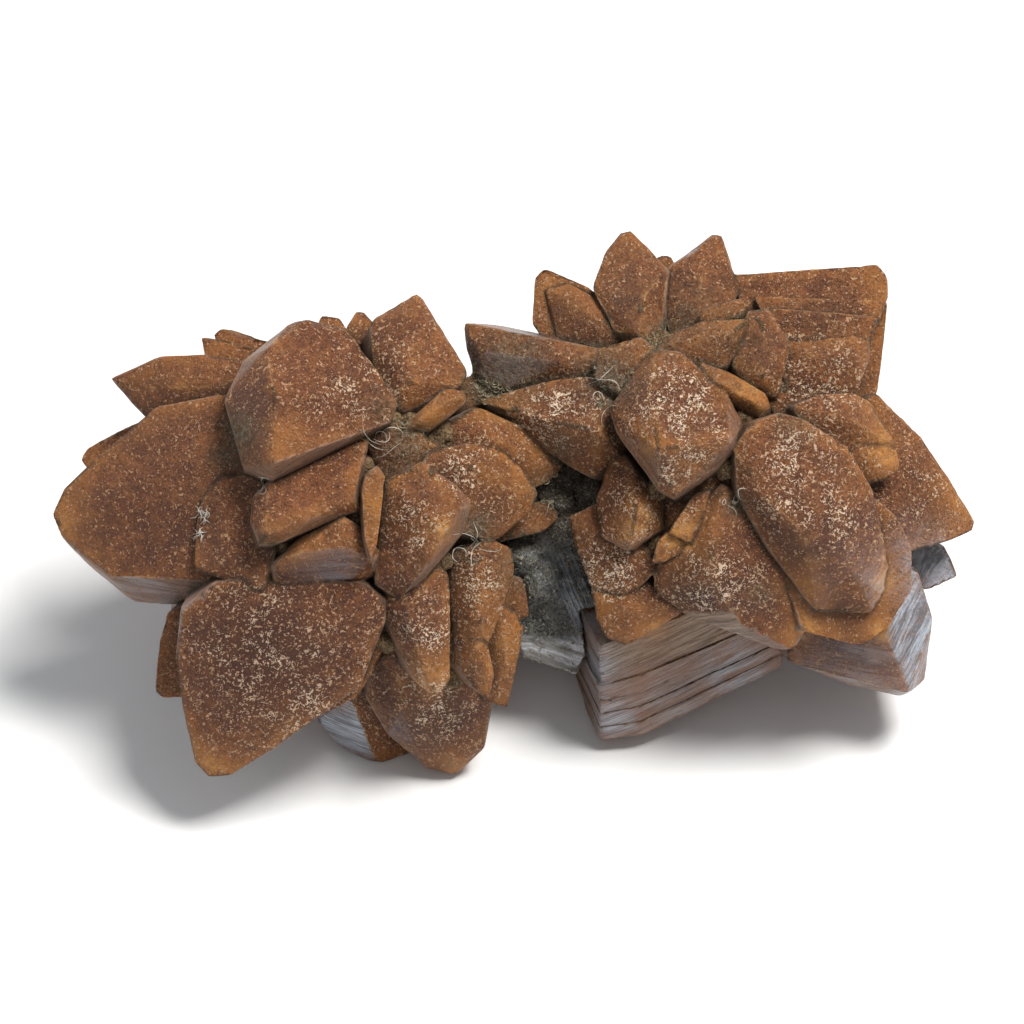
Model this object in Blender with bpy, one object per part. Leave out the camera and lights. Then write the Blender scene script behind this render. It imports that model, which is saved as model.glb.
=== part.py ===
"""Glendonite: two rosettes of steep calcite crystals that grew into each other, with clay between them.

The crystals are laid out on a plane that leans back from a viewer who stands in front of the
specimen and looks down on it: "right" and "up" run across it and "out" comes towards the eye,
all in millimetres. A crystal is a flat outer face with a few corners, and a foot that lies
deeper and nearer to the heart of its rosette. Blender's own frame has +Z up, with the specimen
standing on Z = 0.

Run it with: blender --background --python part.py
"""

import math
from collections import namedtuple

import bmesh
import bpy
from mathutils import Matrix, Vector, noise

# ---------------------------------------------------------------- driving dimensions, in mm
MM = 0.001  # metres in a millimetre
LEAN_BACK = math.radians(55.0)  # height of the viewer above the horizon
STANDS_AT = -24.0  # height of the resting plane, from the layout's origin
FLAT_WITHIN = math.radians(0.5)  # faces of a crystal that turn less than this are one face

LEFT_HEART = Vector((-21.2, -3.3, -6.0))
RIGHT_HEART = Vector((20.3, 2.4, -6.0))
CORE_RADIUS = 12.0
CORE_RINGS = [(-0.85, 0.5), (-0.3, 0.95), (0.3, 0.95), (0.8, 0.55)]  # height and radius
CORE_SIDES = 7
BACK_BLADES = 15  # round the back and the underside of each rosette
LEFT_REACH = 18.6  # of those blades, from the heart
RIGHT_REACH = 21.6
BLADE_WIDTH = 15.0
BLADE_THICKNESS = 8.0
BLADE_SHOULDER = 0.66  # where a blade starts to taper, as a share of its length
BLADE_SECTION = [(1, 0.16), (0.1, 1), (-0.1, 1), (-1, 0.16), (-1, -0.16), (0.15, -1), (1, -0.16)]
BLADE_TIP = [(0.45, 0.1), (0.1, 0.35), (-0.3, 0.1), (0.1, -0.3)]

PLATES = 7  # growth plates in the striated block
PLATE_LAP = 0.18  # how far each runs into the next, as a share of its thickness
PLATE_JUT = 0.16  # how unequal they are

CLAY_GAP = 0.35  # between the clay and the crystals that it lies against
CLAY_MESH = 2.4  # longest edge before it is roughened
CLAY_LUMP = 2.6  # size of its lumps
CLAY_LUMP_HEIGHT = 0.9
BENCH_SIDE = 200.0  # of the block that trims the underside

CALCITE_COLOUR = (0.205, 0.083, 0.035, 1.0)
CLAY_COLOUR = (0.150, 0.152, 0.130, 1.0)

Crystal = namedtuple("Crystal", "name corners level lean depth edge pull waist slide ridge")


def crystal(name, corners, level, lean=(0.0, 0.0), depth=10.0, edge=3.0, pull=0.35, waist=0.85,
            slide=(0.0, 0.0), ridge=()):
    """One crystal, by its outer face.

    corners: of the face, as (right, up). level: how far out the middle of the face lies.
    lean: how much the face rises for each mm to the right and for each mm up.
    depth, edge: its thickness nearest to the heart, and furthest from it.
    pull: how far its foot moves towards the heart, 1 being all the way. waist: the foot's size.
    slide: a sideways shift of the foot, which bares one flank.
    ridge: points (right, up, rise) that stand proud of the face.
    """
    return Crystal(name, corners, level, lean, depth, edge, pull, waist, slide, ridge)


LEFT_ROSETTE = [
    # the western side
    crystal("west_blade",
            [(-46.4, -1.1), (-45.2, 1.4), (-42.3, 4.2), (-35.9, 9.5), (-29.2, 10.9), (-24.0, 5.0),
             (-28.0, -8.0), (-40.5, -7.4), (-45.4, -3.4)],
            level=1.3, lean=(0.28, 0.05), depth=9.0, edge=2.5, slide=(1.4, -2.8), waist=0.96, pull=0.05,
            ridge=[(-40.0, 0.6, 0.9), (-32.0, 4.6, 1.2)]),
    crystal("northwest_blade",
            [(-40.6, 12.5), (-35.4, 14.7), (-31.4, 14.9), (-24.0, 14.0), (-25.0, 7.0),
             (-36.0, 7.6), (-38.4, 10.0)],
            level=-1.0, lean=(0.25, 0.10), depth=8.0, edge=2.5,
            ridge=[(-36.0, 11.4, 0.8), (-29.5, 11.6, 1.2)]),
    crystal("west_sliver",
            [(-43.7, 4.3), (-43.2, 5.3), (-39.9, 7.0), (-37.3, 8.3), (-33.0, 6.0), (-35.0, 1.0),
             (-43.1, 3.4)],
            level=-6.0, lean=(0.20, 0.0), depth=4.0, edge=2.0),
    crystal("north_west_plate",
            [(-31.5, 16.7), (-28.9, 16.2), (-24.0, 14.9), (-22.0, 10.0), (-31.1, 14.9)],
            level=-3.0, lean=(0.20, -0.20), depth=6.0, edge=2.0),
    crystal("north_west_tip",
            [(-30.4, 16.9), (-29.7, 17.6), (-28.4, 17.4), (-23.0, 15.6), (-23.0, 11.0)],
            level=-5.5, lean=(0.20, -0.20), depth=6.0, edge=2.0),
    crystal("southwest_splinter",
            [(-34.8, -11.0), (-31.0, -9.0), (-30.0, -19.5), (-35.4, -19.8), (-36.1, -19.2), (-35.7, -14.3)],
            level=-4.0, lean=(0.20, 0.15), depth=7.0, edge=3.0),
    # round the crown
    crystal("crown_block",
            [(-26.9, 14.2), (-22.2, 18.0), (-20.6, 18.4), (-16.9, 17.4), (-13.9, 13.7), (-11.6, 10.0),
             (-12.2, 8.0), (-20.9, 4.4), (-24.0, 2.1), (-26.9, 3.4), (-28.9, 10.2)],
            level=6.8, lean=(0.0, -0.22), depth=15.0, edge=9.0, pull=0.2, waist=0.92,
            ridge=[(-24.6, 15.2, 2.6), (-23.8, 10.0, 4.0), (-24.0, 3.8, 3.4)]),
    crystal("north_tip_a",
            [(-19.6, 18.0), (-19.3, 18.9), (-17.4, 18.6), (-15.0, 15.0), (-20.0, 12.0)],
            level=1.0, lean=(0.0, -0.30), depth=8.0, edge=3.0),
    crystal("north_tip_b",
            [(-16.8, 17.6), (-15.7, 19.3), (-14.9, 19.2), (-12.0, 16.0), (-15.0, 12.0)],
            level=-0.5, lean=(0.0, -0.30), depth=8.0, edge=3.0),
    crystal("north_blade",
            [(-14.4, 18.2), (-11.9, 19.4), (-9.6, 21.0), (-9.0, 20.4), (-7.4, 17.8), (-4.4, 13.0),
             (-5.0, 11.6), (-10.9, 9.0), (-13.5, 9.5)],
            level=3.3, lean=(0.10, -0.35), depth=11.0, edge=4.0, slide=(0.6, 0.0),
            ridge=[(-9.8, 19.0, 1.0), (-10.4, 12.0, 1.9)]),
    crystal("north_saddle",
            [(-11.3, 7.2), (-8.4, 9.8), (-6.9, 11.4), (-4.7, 11.2), (-4.3, 10.3), (-6.4, 8.5), (-8.4, 7.0)],
            level=5.6, lean=(-0.10, 0.0), depth=11.0, edge=7.0,
            ridge=[(-9.6, 7.9, 1.0), (-6.4, 10.2, 0.8)]),
    crystal("north_junction",
            [(-15.2, 7.0), (-11.4, 8.4), (-7.0, 5.6), (-9.2, 2.6), (-12.0, -0.4), (-13.2, 3.2)],
            level=5.6, lean=(0.0, 0.05), depth=12.0, edge=9.0, ridge=[(-11.4, 4.6, 0.6)]),
    # no crystal of its own: the ground that closes the cleft between the two crowns, under clay
    crystal("cleft_junction",
            [(-6.2, 9.6), (-5.2, 12.4), (-3.4, 13.0), (-2.4, 11.6), (-0.4, 9.8), (-2.2, 7.6)],
            level=-0.6, lean=(0.0, -0.10), depth=8.0, edge=6.0),
    # the face of the rosette
    crystal("brow_block",
            [(-26.0, 0.6), (-21.8, 5.0), (-16.9, 8.0), (-14.3, 8.2), (-14.9, 2.2), (-15.3, -0.8),
             (-21.4, -2.7), (-24.0, -4.3), (-25.4, -4.3), (-26.3, -1.8)],
            level=7.4, lean=(0.05, -0.25), depth=14.0, edge=12.0, pull=0.4,
            ridge=[(-24.5, 1.6, 1.3), (-24.7, -3.2, 1.6), (-20.0, -1.5, 2.2), (-15.9, 0.2, 1.5)]),
    crystal("lens_block",
            [(-24.4, -6.4), (-21.4, -3.6), (-16.9, -1.4), (-15.1, -2.6), (-13.4, -5.1), (-13.8, -7.4),
             (-16.9, -8.9), (-21.4, -9.7), (-23.8, -9.0)],
            level=6.0, lean=(0.0, 0.55), depth=12.0, edge=9.0, pull=0.35,
            ridge=[(-23.8, -6.4, 1.5), (-21.4, -5.0, 2.0), (-17.0, -4.5, 2.0), (-14.3, -5.6, 1.5)]),
    crystal("amber_sliver",
            [(-14.6, 3.0), (-13.5, 3.7), (-12.7, 2.6), (-13.4, -0.8), (-13.6, -4.3), (-14.2, -5.8),
             (-14.8, -3.8), (-15.1, 1.2)],
            level=9.6, lean=(0.0, 0.0), depth=14.0, edge=12.0),
    crystal("cheek_plate",
            [(-31.3, 0.2), (-29.2, 2.6), (-25.0, 2.7), (-23.5, -4.0), (-24.3, -7.6), (-25.2, -8.9),
             (-30.9, -7.3), (-32.0, -6.8), (-31.8, -2.3)],
            level=4.8, lean=(0.25, 0.0), depth=9.0, edge=4.0,
            ridge=[(-29.4, -0.5, 0.6), (-28.6, -5.5, 0.6)]),
    crystal("south_knob",
            [(-12.9, 2.2), (-9.1, 4.1), (-5.4, 1.5), (-4.2, -0.2), (-4.9, -2.8), (-8.9, -7.8),
             (-11.4, -9.8), (-13.9, -8.1), (-13.4, -1.8)],
            level=7.0, lean=(-0.05, 0.28), depth=14.0, edge=9.0, pull=0.3, waist=0.95, slide=(2.0, -1.4),
            ridge=[(-5.3, -0.7, 1.9), (-6.9, -2.9, 3.0), (-8.3, -5.8, 2.8), (-10.9, -8.4, 1.1)]),
    crystal("east_leaf",
            [(-9.4, 3.6), (-8.4, 5.1), (-4.4, 6.0), (-0.9, 5.2), (1.1, 3.2), (2.7, 1.0), (2.1, -0.6),
             (-1.5, -3.9), (-6.0, -3.0)],
            level=4.1, lean=(-0.30, 0.05), depth=10.0, edge=2.0,
            ridge=[(-4.2, 3.4, 1.1), (0.4, 0.8, 1.0)]),
    crystal("east_upper_leaf",
            [(-6.9, 7.6), (-3.9, 9.7), (0.6, 7.7), (4.4, 5.0), (5.2, 3.5), (3.8, 2.2), (0.0, 0.5),
             (-6.0, 4.0)],
            level=1.8, lean=(-0.28, 0.0), depth=8.0, edge=2.0,
            ridge=[(-2.5, 6.6, 1.1), (2.6, 4.2, 0.9)]),
    crystal("east_lower_tip",
            [(-2.0, -1.0), (2.6, -0.2), (3.8, 0.3), (4.7, -1.0), (4.6, -1.7), (3.2, -2.9), (-1.4, -4.1)],
            level=-0.5, lean=(-0.20, 0.0), depth=8.0, edge=3.0, slide=(0.0, -0.9)),
    # the lower side
    crystal("southwest_slab",
            [(-33.3, -10.8), (-29.9, -8.1), (-27.0, -7.6), (-15.0, -8.0), (-12.9, -9.8), (-12.8, -12.0),
             (-15.4, -18.6), (-24.4, -25.0), (-28.6, -27.6), (-30.7, -27.7), (-32.0, -26.2),
             (-33.2, -20.5), (-33.9, -16.0)],
            level=2.3, lean=(0.05, 0.34), depth=9.0, edge=2.4, pull=0.2, waist=0.97,
            ridge=[(-29.0, -12.5, 0.8), (-20.0, -12.8, 1.2), (-27.0, -22.0, 0.9)]),
    crystal("southwest_slab_ledge",
            [(-29.0, -9.0), (-13.2, -9.0), (-12.4, -11.3), (-13.0, -14.8), (-15.4, -19.4), (-22.0, -22.8),
             (-30.0, -22.0)],
            level=0.6, lean=(0.05, 0.34), depth=8.0, edge=3.0, pull=0.2),
    crystal("south_blade",
            [(-12.9, -9.4), (-7.4, -6.2), (-6.3, -7.3), (-6.3, -18.2), (-7.2, -19.5), (-8.4, -19.2),
             (-9.7, -18.3), (-11.1, -14.8), (-12.8, -12.0)],
            level=3.0, lean=(0.05, 0.38), depth=9.0, edge=2.0, slide=(0.5, 0.0),
            ridge=[(-10.6, -10.4, 1.8), (-9.2, -16.4, 1.4)]),
    crystal("southeast_blade",
            [(-6.0, -5.4), (-2.4, -3.6), (0.0, -4.6), (0.2, -6.8), (-0.7, -9.5), (-2.6, -14.5),
             (-5.5, -15.5), (-6.4, -9.8)],
            level=2.4, lean=(-0.10, 0.32), depth=10.0, edge=4.0,
            ridge=[(-3.7, -6.0, 1.2), (-3.3, -12.0, 1.6)]),
    crystal("southeast_blade_tip",
            [(-6.0, -11.0), (-2.9, -13.0), (-1.8, -17.8), (-2.3, -20.1), (-3.4, -19.4), (-5.8, -16.3)],
            level=0.2, lean=(-0.05, 0.32), depth=7.0, edge=2.0, ridge=[(-3.5, -15.2, 1.1)]),
    crystal("southeast_fin",
            [(-3.0, -9.0), (-1.0, -10.0), (0.6, -11.4), (1.1, -12.6), (0.8, -14.3), (-0.5, -20.9),
             (-1.7, -20.6), (-3.0, -16.0)],
            level=-1.2, lean=(-0.10, 0.32), depth=8.0, edge=3.0, ridge=[(-0.9, -13.0, 0.9)]),
    crystal("southeast_tip",
            [(-2.0, -7.8), (0.1, -7.4), (0.9, -7.6), (1.4, -8.8), (1.7, -11.5), (0.5, -12.2), (-2.0, -11.0)],
            level=-0.8, lean=(-0.10, 0.25), depth=7.0, edge=3.0),
    crystal("south_block",
            [(-14.6, -16.0), (-11.0, -12.5), (-3.0, -13.0), (-2.0, -20.0), (-2.9, -24.8), (-5.9, -27.6),
             (-8.6, -27.0), (-12.6, -23.4), (-14.8, -19.8)],
            level=-4.8, lean=(-0.05, 0.62), depth=11.0, edge=7.0, pull=0.25, waist=0.95, slide=(1.0, 0.0),
            ridge=[(-11.8, -15.0, 1.8), (-11.2, -21.0, 2.4), (-6.0, -26.2, 0.8)]),
    crystal("south_foot",
            [(-19.8, -22.1), (-17.5, -16.0), (-12.0, -15.0), (-9.5, -24.0), (-10.6, -25.7),
             (-13.6, -27.0), (-16.4, -25.4), (-18.4, -24.0)],
            level=-9.5, lean=(0.0, 0.75), depth=8.0, edge=5.0, pull=0.1, waist=0.95,
            ridge=[(-16.4, -19.6, 1.8), (-13.7, -26.6, 1.6)]),
]

RIGHT_ROSETTE = [
    # the upper side, from the west round to the east
    crystal("west_block",
            [(-5.1, 18.0), (-2.4, 17.5), (4.6, 16.1), (9.1, 15.2), (10.0, 12.0), (3.1, 11.4),
             (-2.4, 10.5), (-3.6, 11.3), (-4.9, 15.7)],
            level=0.3, lean=(0.20, 0.10), depth=9.0, edge=5.5, pull=0.1, waist=1.0, slide=(0.6, 1.1),
            ridge=[(-3.2, 15.0, 1.3), (4.8, 14.0, 1.5)]),
    crystal("northwest_leaf",
            [(1.7, 17.8), (2.2, 21.4), (2.0, 22.6), (2.7, 23.5), (3.4, 23.4), (7.6, 21.5), (12.6, 17.7),
             (13.4, 16.0), (9.1, 13.5), (4.0, 15.0)],
            level=-1.0, lean=(0.20, -0.15), depth=9.0, edge=2.5),
    crystal("northwest_leaf_front",
            [(2.9, 21.4), (5.1, 22.2), (8.6, 20.3), (13.0, 16.6), (9.0, 14.0), (4.2, 16.4)],
            level=-0.4, lean=(0.22, -0.10), depth=9.0, edge=2.5,
            ridge=[(5.0, 20.3, 0.8), (10.5, 17.0, 1.3)]),
    crystal("north_pyramid",
            [(7.7, 21.6), (9.1, 25.2), (10.6, 27.2), (11.6, 27.4), (13.1, 25.9), (15.4, 23.4), (14.8, 18.0),
             (13.6, 14.5), (10.0, 17.0)],
            level=0.0, lean=(0.05, -0.38), depth=10.0, edge=2.5,
            ridge=[(12.2, 24.4, 0.8), (12.9, 20.4, 2.0), (12.6, 16.8, 1.7)]),
    crystal("north_blade_east",
            [(15.2, 23.4), (17.1, 24.7), (20.0, 26.9), (20.8, 26.8), (21.7, 24.2), (22.5, 21.0),
             (20.0, 15.0), (15.6, 16.5), (14.8, 20.5)],
            level=-0.6, lean=(0.0, -0.30), depth=9.0, edge=4.5, slide=(-0.7, 1.0), pull=0.1, waist=0.98,
            ridge=[(18.8, 23.4, 0.9), (18.4, 18.6, 1.4)]),
    crystal("north_hollow",
            [(13.8, 20.2), (18.6, 20.2), (19.2, 18.0), (15.4, 16.4), (13.4, 16.0)],
            level=0.1, lean=(0.0, -0.10), depth=9.0, edge=6.0),
    crystal("north_splinter",
            [(14.2, 24.9), (14.9, 25.1), (15.9, 24.8), (17.0, 20.0), (13.5, 20.0)],
            level=-5.0, lean=(0.0, -0.30), depth=6.0, edge=3.0),
    crystal("northeast_slab",
            [(21.6, 22.7), (28.6, 23.1), (36.6, 23.8), (37.4, 22.9), (37.5, 20.6), (36.8, 18.6),
             (24.0, 17.0)],
            level=-1.6, lean=(-0.12, -0.18), depth=10.0, edge=6.0, pull=0.15, waist=0.97, slide=(0.4, 0.0)),
    crystal("northeast_slab_middle",
            [(24.0, 20.6), (36.9, 20.2), (36.8, 18.0), (25.5, 17.6)],
            level=-0.2, lean=(-0.12, -0.10), depth=10.0, edge=6.0, pull=0.15),
    crystal("northeast_slab_lower",
            [(25.6, 19.4), (36.6, 18.6), (36.0, 16.4), (30.0, 14.0), (26.0, 15.0)],
            level=0.6, lean=(-0.12, -0.08), depth=11.0, edge=6.0, pull=0.15),
    crystal("east_sliver",
            [(37.5, 20.2), (37.1, 16.2), (36.4, 10.6), (33.0, 9.0), (33.5, 18.0)],
            level=-2.5, lean=(-0.15, 0.0), depth=8.0, edge=4.0),
    crystal("east_shoulder",
            [(26.5, 15.9), (34.6, 16.7), (35.9, 16.2), (35.6, 14.2), (34.3, 10.7), (30.6, 10.0),
             (27.3, 9.3)],
            level=2.0, lean=(-0.18, 0.05), depth=10.0, edge=5.0,
            ridge=[(30.0, 14.6, 0.9), (34.2, 14.2, 0.6)]),
    crystal("east_junction",
            [(24.8, 11.0), (28.6, 10.2), (33.0, 10.8), (29.8, 7.8), (26.2, 8.2)],
            level=3.6, lean=(-0.10, 0.0), depth=10.0, edge=6.0),
    crystal("east_leaf_upper",
            [(27.6, 9.6), (30.6, 10.8), (34.3, 11.0), (35.6, 10.1), (37.4, 7.2), (38.2, 5.6), (33.6, 5.0),
             (31.0, 4.0)],
            level=3.7, lean=(-0.22, 0.05), depth=9.0, edge=2.0, ridge=[(33.2, 8.4, 1.6)]),
    crystal("east_leaf_lower",
            [(31.0, 7.6), (38.0, 6.0), (38.7, 3.2), (37.9, 2.4), (35.9, 1.7), (33.0, 2.6)],
            level=2.9, lean=(-0.22, 0.05), depth=9.0, edge=2.0, ridge=[(36.0, 4.6, 0.9)]),
    crystal("far_east_blade",
            [(36.2, 11.0), (38.6, 8.5), (41.1, 6.2), (43.6, 2.4), (46.4, -2.1), (46.2, -2.9),
             (43.6, -4.1), (39.0, -5.2), (32.0, -4.0), (33.0, 8.0)],
            level=-1.0, lean=(-0.30, 0.0), depth=9.0, edge=2.0, ridge=[(40.0, 2.5, 0.9)]),
    # the face of the rosette
    crystal("crown_point",
            [(9.4, 9.4), (12.6, 13.8), (14.1, 15.3), (16.6, 15.0), (21.1, 10.9), (22.8, 7.7), (22.1, 5.4),
             (20.1, 3.2), (15.8, 0.4), (14.3, 1.2), (12.0, 5.8), (10.1, 7.0)],
            level=6.8, lean=(-0.02, -0.12), depth=15.0, edge=12.0, pull=0.3, waist=0.95,
            ridge=[(13.4, 10.4, 2.6), (14.3, 5.2, 4.4), (21.5, 6.1, 3.2)]),
    crystal("western_wedge",
            [(-4.0, 10.1), (3.1, 12.1), (8.6, 12.7), (11.0, 10.0), (11.0, 4.0), (7.6, 2.4), (5.0, 3.8),
             (3.4, 5.6), (-2.4, 8.9)],
            level=2.0, lean=(0.25, 0.05), depth=10.0, edge=2.0,
            ridge=[(0.0, 9.4, 1.2), (3.6, 8.0, 2.4), (8.6, 7.0, 3.0)]),
    crystal("small_pyramid",
            [(8.0, 0.2), (9.6, 4.3), (11.1, 4.8), (14.1, 1.4), (15.0, -0.3), (14.6, -2.9), (11.4, -5.1),
             (8.4, -3.4)],
            level=3.6, lean=(0.08, 0.05), depth=11.0, edge=7.0,
            ridge=[(12.0, 3.0, 2.0), (12.2, -0.4, 3.4), (11.6, -4.2, 1.6)]),
    crystal("curved_plate_top",
            [(17.0, -0.6), (18.0, 0.8), (19.5, 1.1), (18.7, -1.8), (17.7, -4.3), (15.3, -3.2)],
            level=5.0, lean=(0.0, 0.10), depth=9.0, edge=5.0),
    crystal("curved_plate_foot",
            [(14.2, -4.1), (16.0, -2.4), (18.0, -3.6), (17.0, -5.0), (14.6, -6.3), (13.5, -6.5)],
            level=4.0, lean=(0.0, 0.10), depth=9.0, edge=5.0),
    crystal("southwest_plate",
            [(5.3, -1.6), (6.1, -4.8), (7.6, -8.7), (10.6, -9.4), (12.1, -8.9), (14.5, -6.6), (12.0, -3.0),
             (8.6, 0.0)],
            level=1.4, lean=(0.18, 0.20), depth=9.0, edge=3.0,
            ridge=[(8.0, -3.2, 0.9), (10.0, -7.0, 1.0)]),
    crystal("southern_step",
            [(7.5, -8.6), (12.6, -7.6), (17.4, -10.6), (14.6, -12.0), (12.6, -13.8), (11.1, -14.6),
             (9.1, -13.9), (8.0, -11.8)],
            level=-0.2, lean=(0.10, 0.26), depth=8.0, edge=3.0, slide=(0.8, 0.0),
            ridge=[(11.4, -10.6, 0.9)]),
    crystal("main_slab",
            [(21.9, 5.4), (23.6, 7.9), (26.6, 8.9), (28.8, 8.3), (33.6, 5.3), (35.9, 1.2), (37.2, -5.0),
             (37.6, -7.0), (37.1, -9.4), (35.9, -11.1), (30.4, -11.2), (25.1, -4.3), (22.2, 1.0)],
            level=4.8, lean=(-0.15, 0.25), depth=11.0, edge=2.2,
            ridge=[(24.9, 0.4, 2.0), (28.9, -3.1, 2.7), (33.2, -6.6, 1.8)]),
    crystal("main_slab_under",
            [(30.0, 0.0), (36.4, 0.2), (38.6, -1.8), (39.8, -4.8), (39.9, -8.8), (37.6, -12.4),
             (35.4, -14.2), (34.2, -14.4), (29.0, -13.0), (27.0, -8.0)],
            level=1.6, lean=(-0.15, 0.25), depth=8.0, edge=2.0),
    crystal("ridge_crystal",
            [(19.0, 0.0), (20.6, 1.7), (22.3, 1.2), (25.2, -4.3), (28.6, -7.3), (30.3, -8.8),
             (29.8, -11.8), (28.1, -14.9), (26.8, -15.0), (17.6, -11.6), (14.0, -8.9), (14.0, -6.7),
             (17.6, -4.3)],
            level=2.2, lean=(0.0, 0.34), depth=10.0, edge=2.5,
            ridge=[(20.5, 0.4, 1.2), (19.7, -3.6, 2.5), (19.7, -7.6, 2.9), (22.6, -12.2, 1.6)]),
    # small crystals round the crown
    crystal("crown_back",
            [(14.0, 15.0), (15.1, 16.8), (18.6, 18.1), (23.6, 18.3), (22.6, 15.7), (21.0, 13.4),
             (17.0, 13.6)],
            level=4.4, lean=(0.0, -0.15), depth=10.0, edge=6.0,
            ridge=[(15.8, 15.9, 0.9), (22.2, 17.2, 1.1)]),
    crystal("crown_back_chip",
            [(18.6, 19.3), (22.6, 20.5), (23.8, 20.2), (22.4, 18.4), (18.4, 17.8)],
            level=2.6, lean=(0.0, -0.20), depth=8.0, edge=4.0),
    crystal("crown_fin",
            [(23.4, 19.3), (25.4, 19.5), (27.4, 16.7), (27.5, 15.0), (26.2, 10.4), (23.4, 11.2),
             (21.7, 13.7), (23.2, 16.7)],
            level=4.2, lean=(-0.05, -0.10), depth=10.0, edge=6.0,
            ridge=[(25.0, 17.4, 1.1), (24.8, 12.6, 1.5)]),
    crystal("crown_ledge",
            [(18.4, 14.2), (21.6, 12.9), (25.2, 10.8), (25.8, 9.2), (24.6, 8.4), (20.6, 10.6),
             (18.4, 11.6)],
            level=5.8, lean=(0.0, 0.05), depth=10.0, edge=6.0,
            ridge=[(20.4, 12.0, 0.9), (24.2, 9.8, 0.9)]),
    crystal("crown_west_foot",
            [(8.2, 15.4), (12.6, 16.6), (14.1, 15.4), (12.8, 13.0), (10.4, 10.6), (7.8, 12.2)],
            level=4.6, lean=(0.10, -0.10), depth=11.0, edge=8.0, ridge=[(11.4, 14.0, 0.8)]),
    crystal("crown_south_foot",
            [(16.2, 1.0), (20.1, 3.6), (22.4, 3.6), (21.8, 0.8), (19.0, -0.6)],
            level=4.4, lean=(0.0, 0.10), depth=10.0, edge=8.0),
    # the lower side
    crystal("southeast_block",
            [(28.0, -11.5), (27.4, -16.0), (33.6, -18.4), (39.0, -19.6), (41.4, -18.0), (42.1, -11.8),
             (40.4, -6.6), (36.0, -6.0)],
            level=-5.6, lean=(-0.10, 0.45), depth=11.0, edge=7.0, pull=0.2, waist=0.97,
            ridge=[(37.2, -13.2, 2.6), (39.7, -19.2, 2.4)]),
    crystal("far_southeast_tip",
            [(38.0, -4.0), (43.3, -4.3), (44.1, -5.8), (44.7, -7.5), (41.6, -9.0), (37.0, -9.0)],
            level=-6.0, lean=(-0.15, 0.10), depth=6.0, edge=3.0),
]

# Blades of each rosette that reach into the other: direction, length, width, thickness, roll.
LEFT_BRIDGE = [
    ((1.00, -0.02, -0.22), 26.0, 15.0, 9.0, 0.5),
    ((0.84, -0.30, -0.50), 24.0, 13.0, 8.0, 1.5),
    ((0.84, 0.28, -0.42), 22.0, 12.0, 8.0, 2.5),
]
RIGHT_BRIDGE = [
    ((-1.00, -0.12, -0.26), 26.5, 14.0, 9.0, 0.9),
    ((-0.86, -0.42, -0.50), 23.0, 14.0, 8.0, 2.0),
    ((-0.82, 0.12, -0.56), 24.0, 13.0, 8.0, 0.1),
]

# Cross sections of the striated block, as (right, up, out).
STRIATED_BLOCK_TOP = [(8.7, -14.4, -1.6), (13.0, -12.6, -1.4), (27.0, -7.5, -1.2), (27.0, -5.0, -14.0),
                      (5.1, -7.5, -11.0)]
STRIATED_BLOCK_BOTTOM = [(8.7, -24.1, -10.8), (12.6, -23.7, -10.6), (27.0, -16.6, -10.5),
                         (25.0, -12.5, -20.0), (5.9, -17.4, -20.0)]

CLAY = crystal("clay_matrix",
               [(0.8, -15.7), (-0.6, -8.0), (-0.4, -2.0), (4.0, 3.2), (8.0, 1.5), (9.5, -6.0), (9.0, -12.5),
                (6.2, -17.4)],
               level=-4.5, lean=(-0.10, 0.30), depth=9.0, edge=9.0, pull=0.0, waist=0.9)


# ---------------------------------------------------------------- crystals as corner points
def middle(points):
    """The mean of the points, as right and up."""
    count = len(points)
    return Vector((sum(p[0] for p in points) / count, sum(p[1] for p in points) / count))


def crystal_points(item, heart):
    """All the corners of a crystal, in the layout frame."""
    centre = middle(item.corners)
    outward = centre - heart.xy
    if outward.length < 1.0:
        outward = Vector((0.0, 1.0))
    outward.normalize()
    reach = [outward.dot(Vector(corner)) for corner in item.corners]
    foot_centre = centre + item.pull * (heart.xy - centre) + Vector(item.slide)

    def face_level(right, up):
        return item.level + item.lean[0] * (right - centre.x) + item.lean[1] * (up - centre.y)

    points = []
    for (right, up), along in zip(item.corners, reach):
        level = face_level(right, up)
        share = (along - min(reach)) / (max(reach) - min(reach))
        thickness = item.depth + (item.edge - item.depth) * share
        foot = foot_centre + item.waist * (Vector((right, up)) - centre)
        points.append(Vector((right, up, level)))
        points.append(Vector((foot.x, foot.y, level - thickness)))
    for right, up, rise in item.ridge:
        points.append(Vector((right, up, face_level(right, up) + rise)))
    return points


def plate_stack(name, first, last):
    """Thin growth plates seen edge on: each is a slice of the block between two cross sections.

    first, last: the top and bottom cross sections, five corners each: three along the front
    from left to right, then back right and back left.
    """
    slices = []
    for index in range(PLATES):
        jut = PLATE_JUT * math.sin(2.4 * index + 0.6)
        points = []
        for share in (index / PLATES, min((index + 1 + PLATE_LAP) / PLATES, 1.0)):
            for corner, (a, b) in enumerate(zip(first, last)):
                point = Vector(a).lerp(Vector(b), share)
                if corner < 3:
                    point.z += jut
                if corner in (0, 4):
                    point.x -= 0.6 * jut
                points.append(point)
        slices.append((f"{name}_{index}", points))
    return slices


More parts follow.
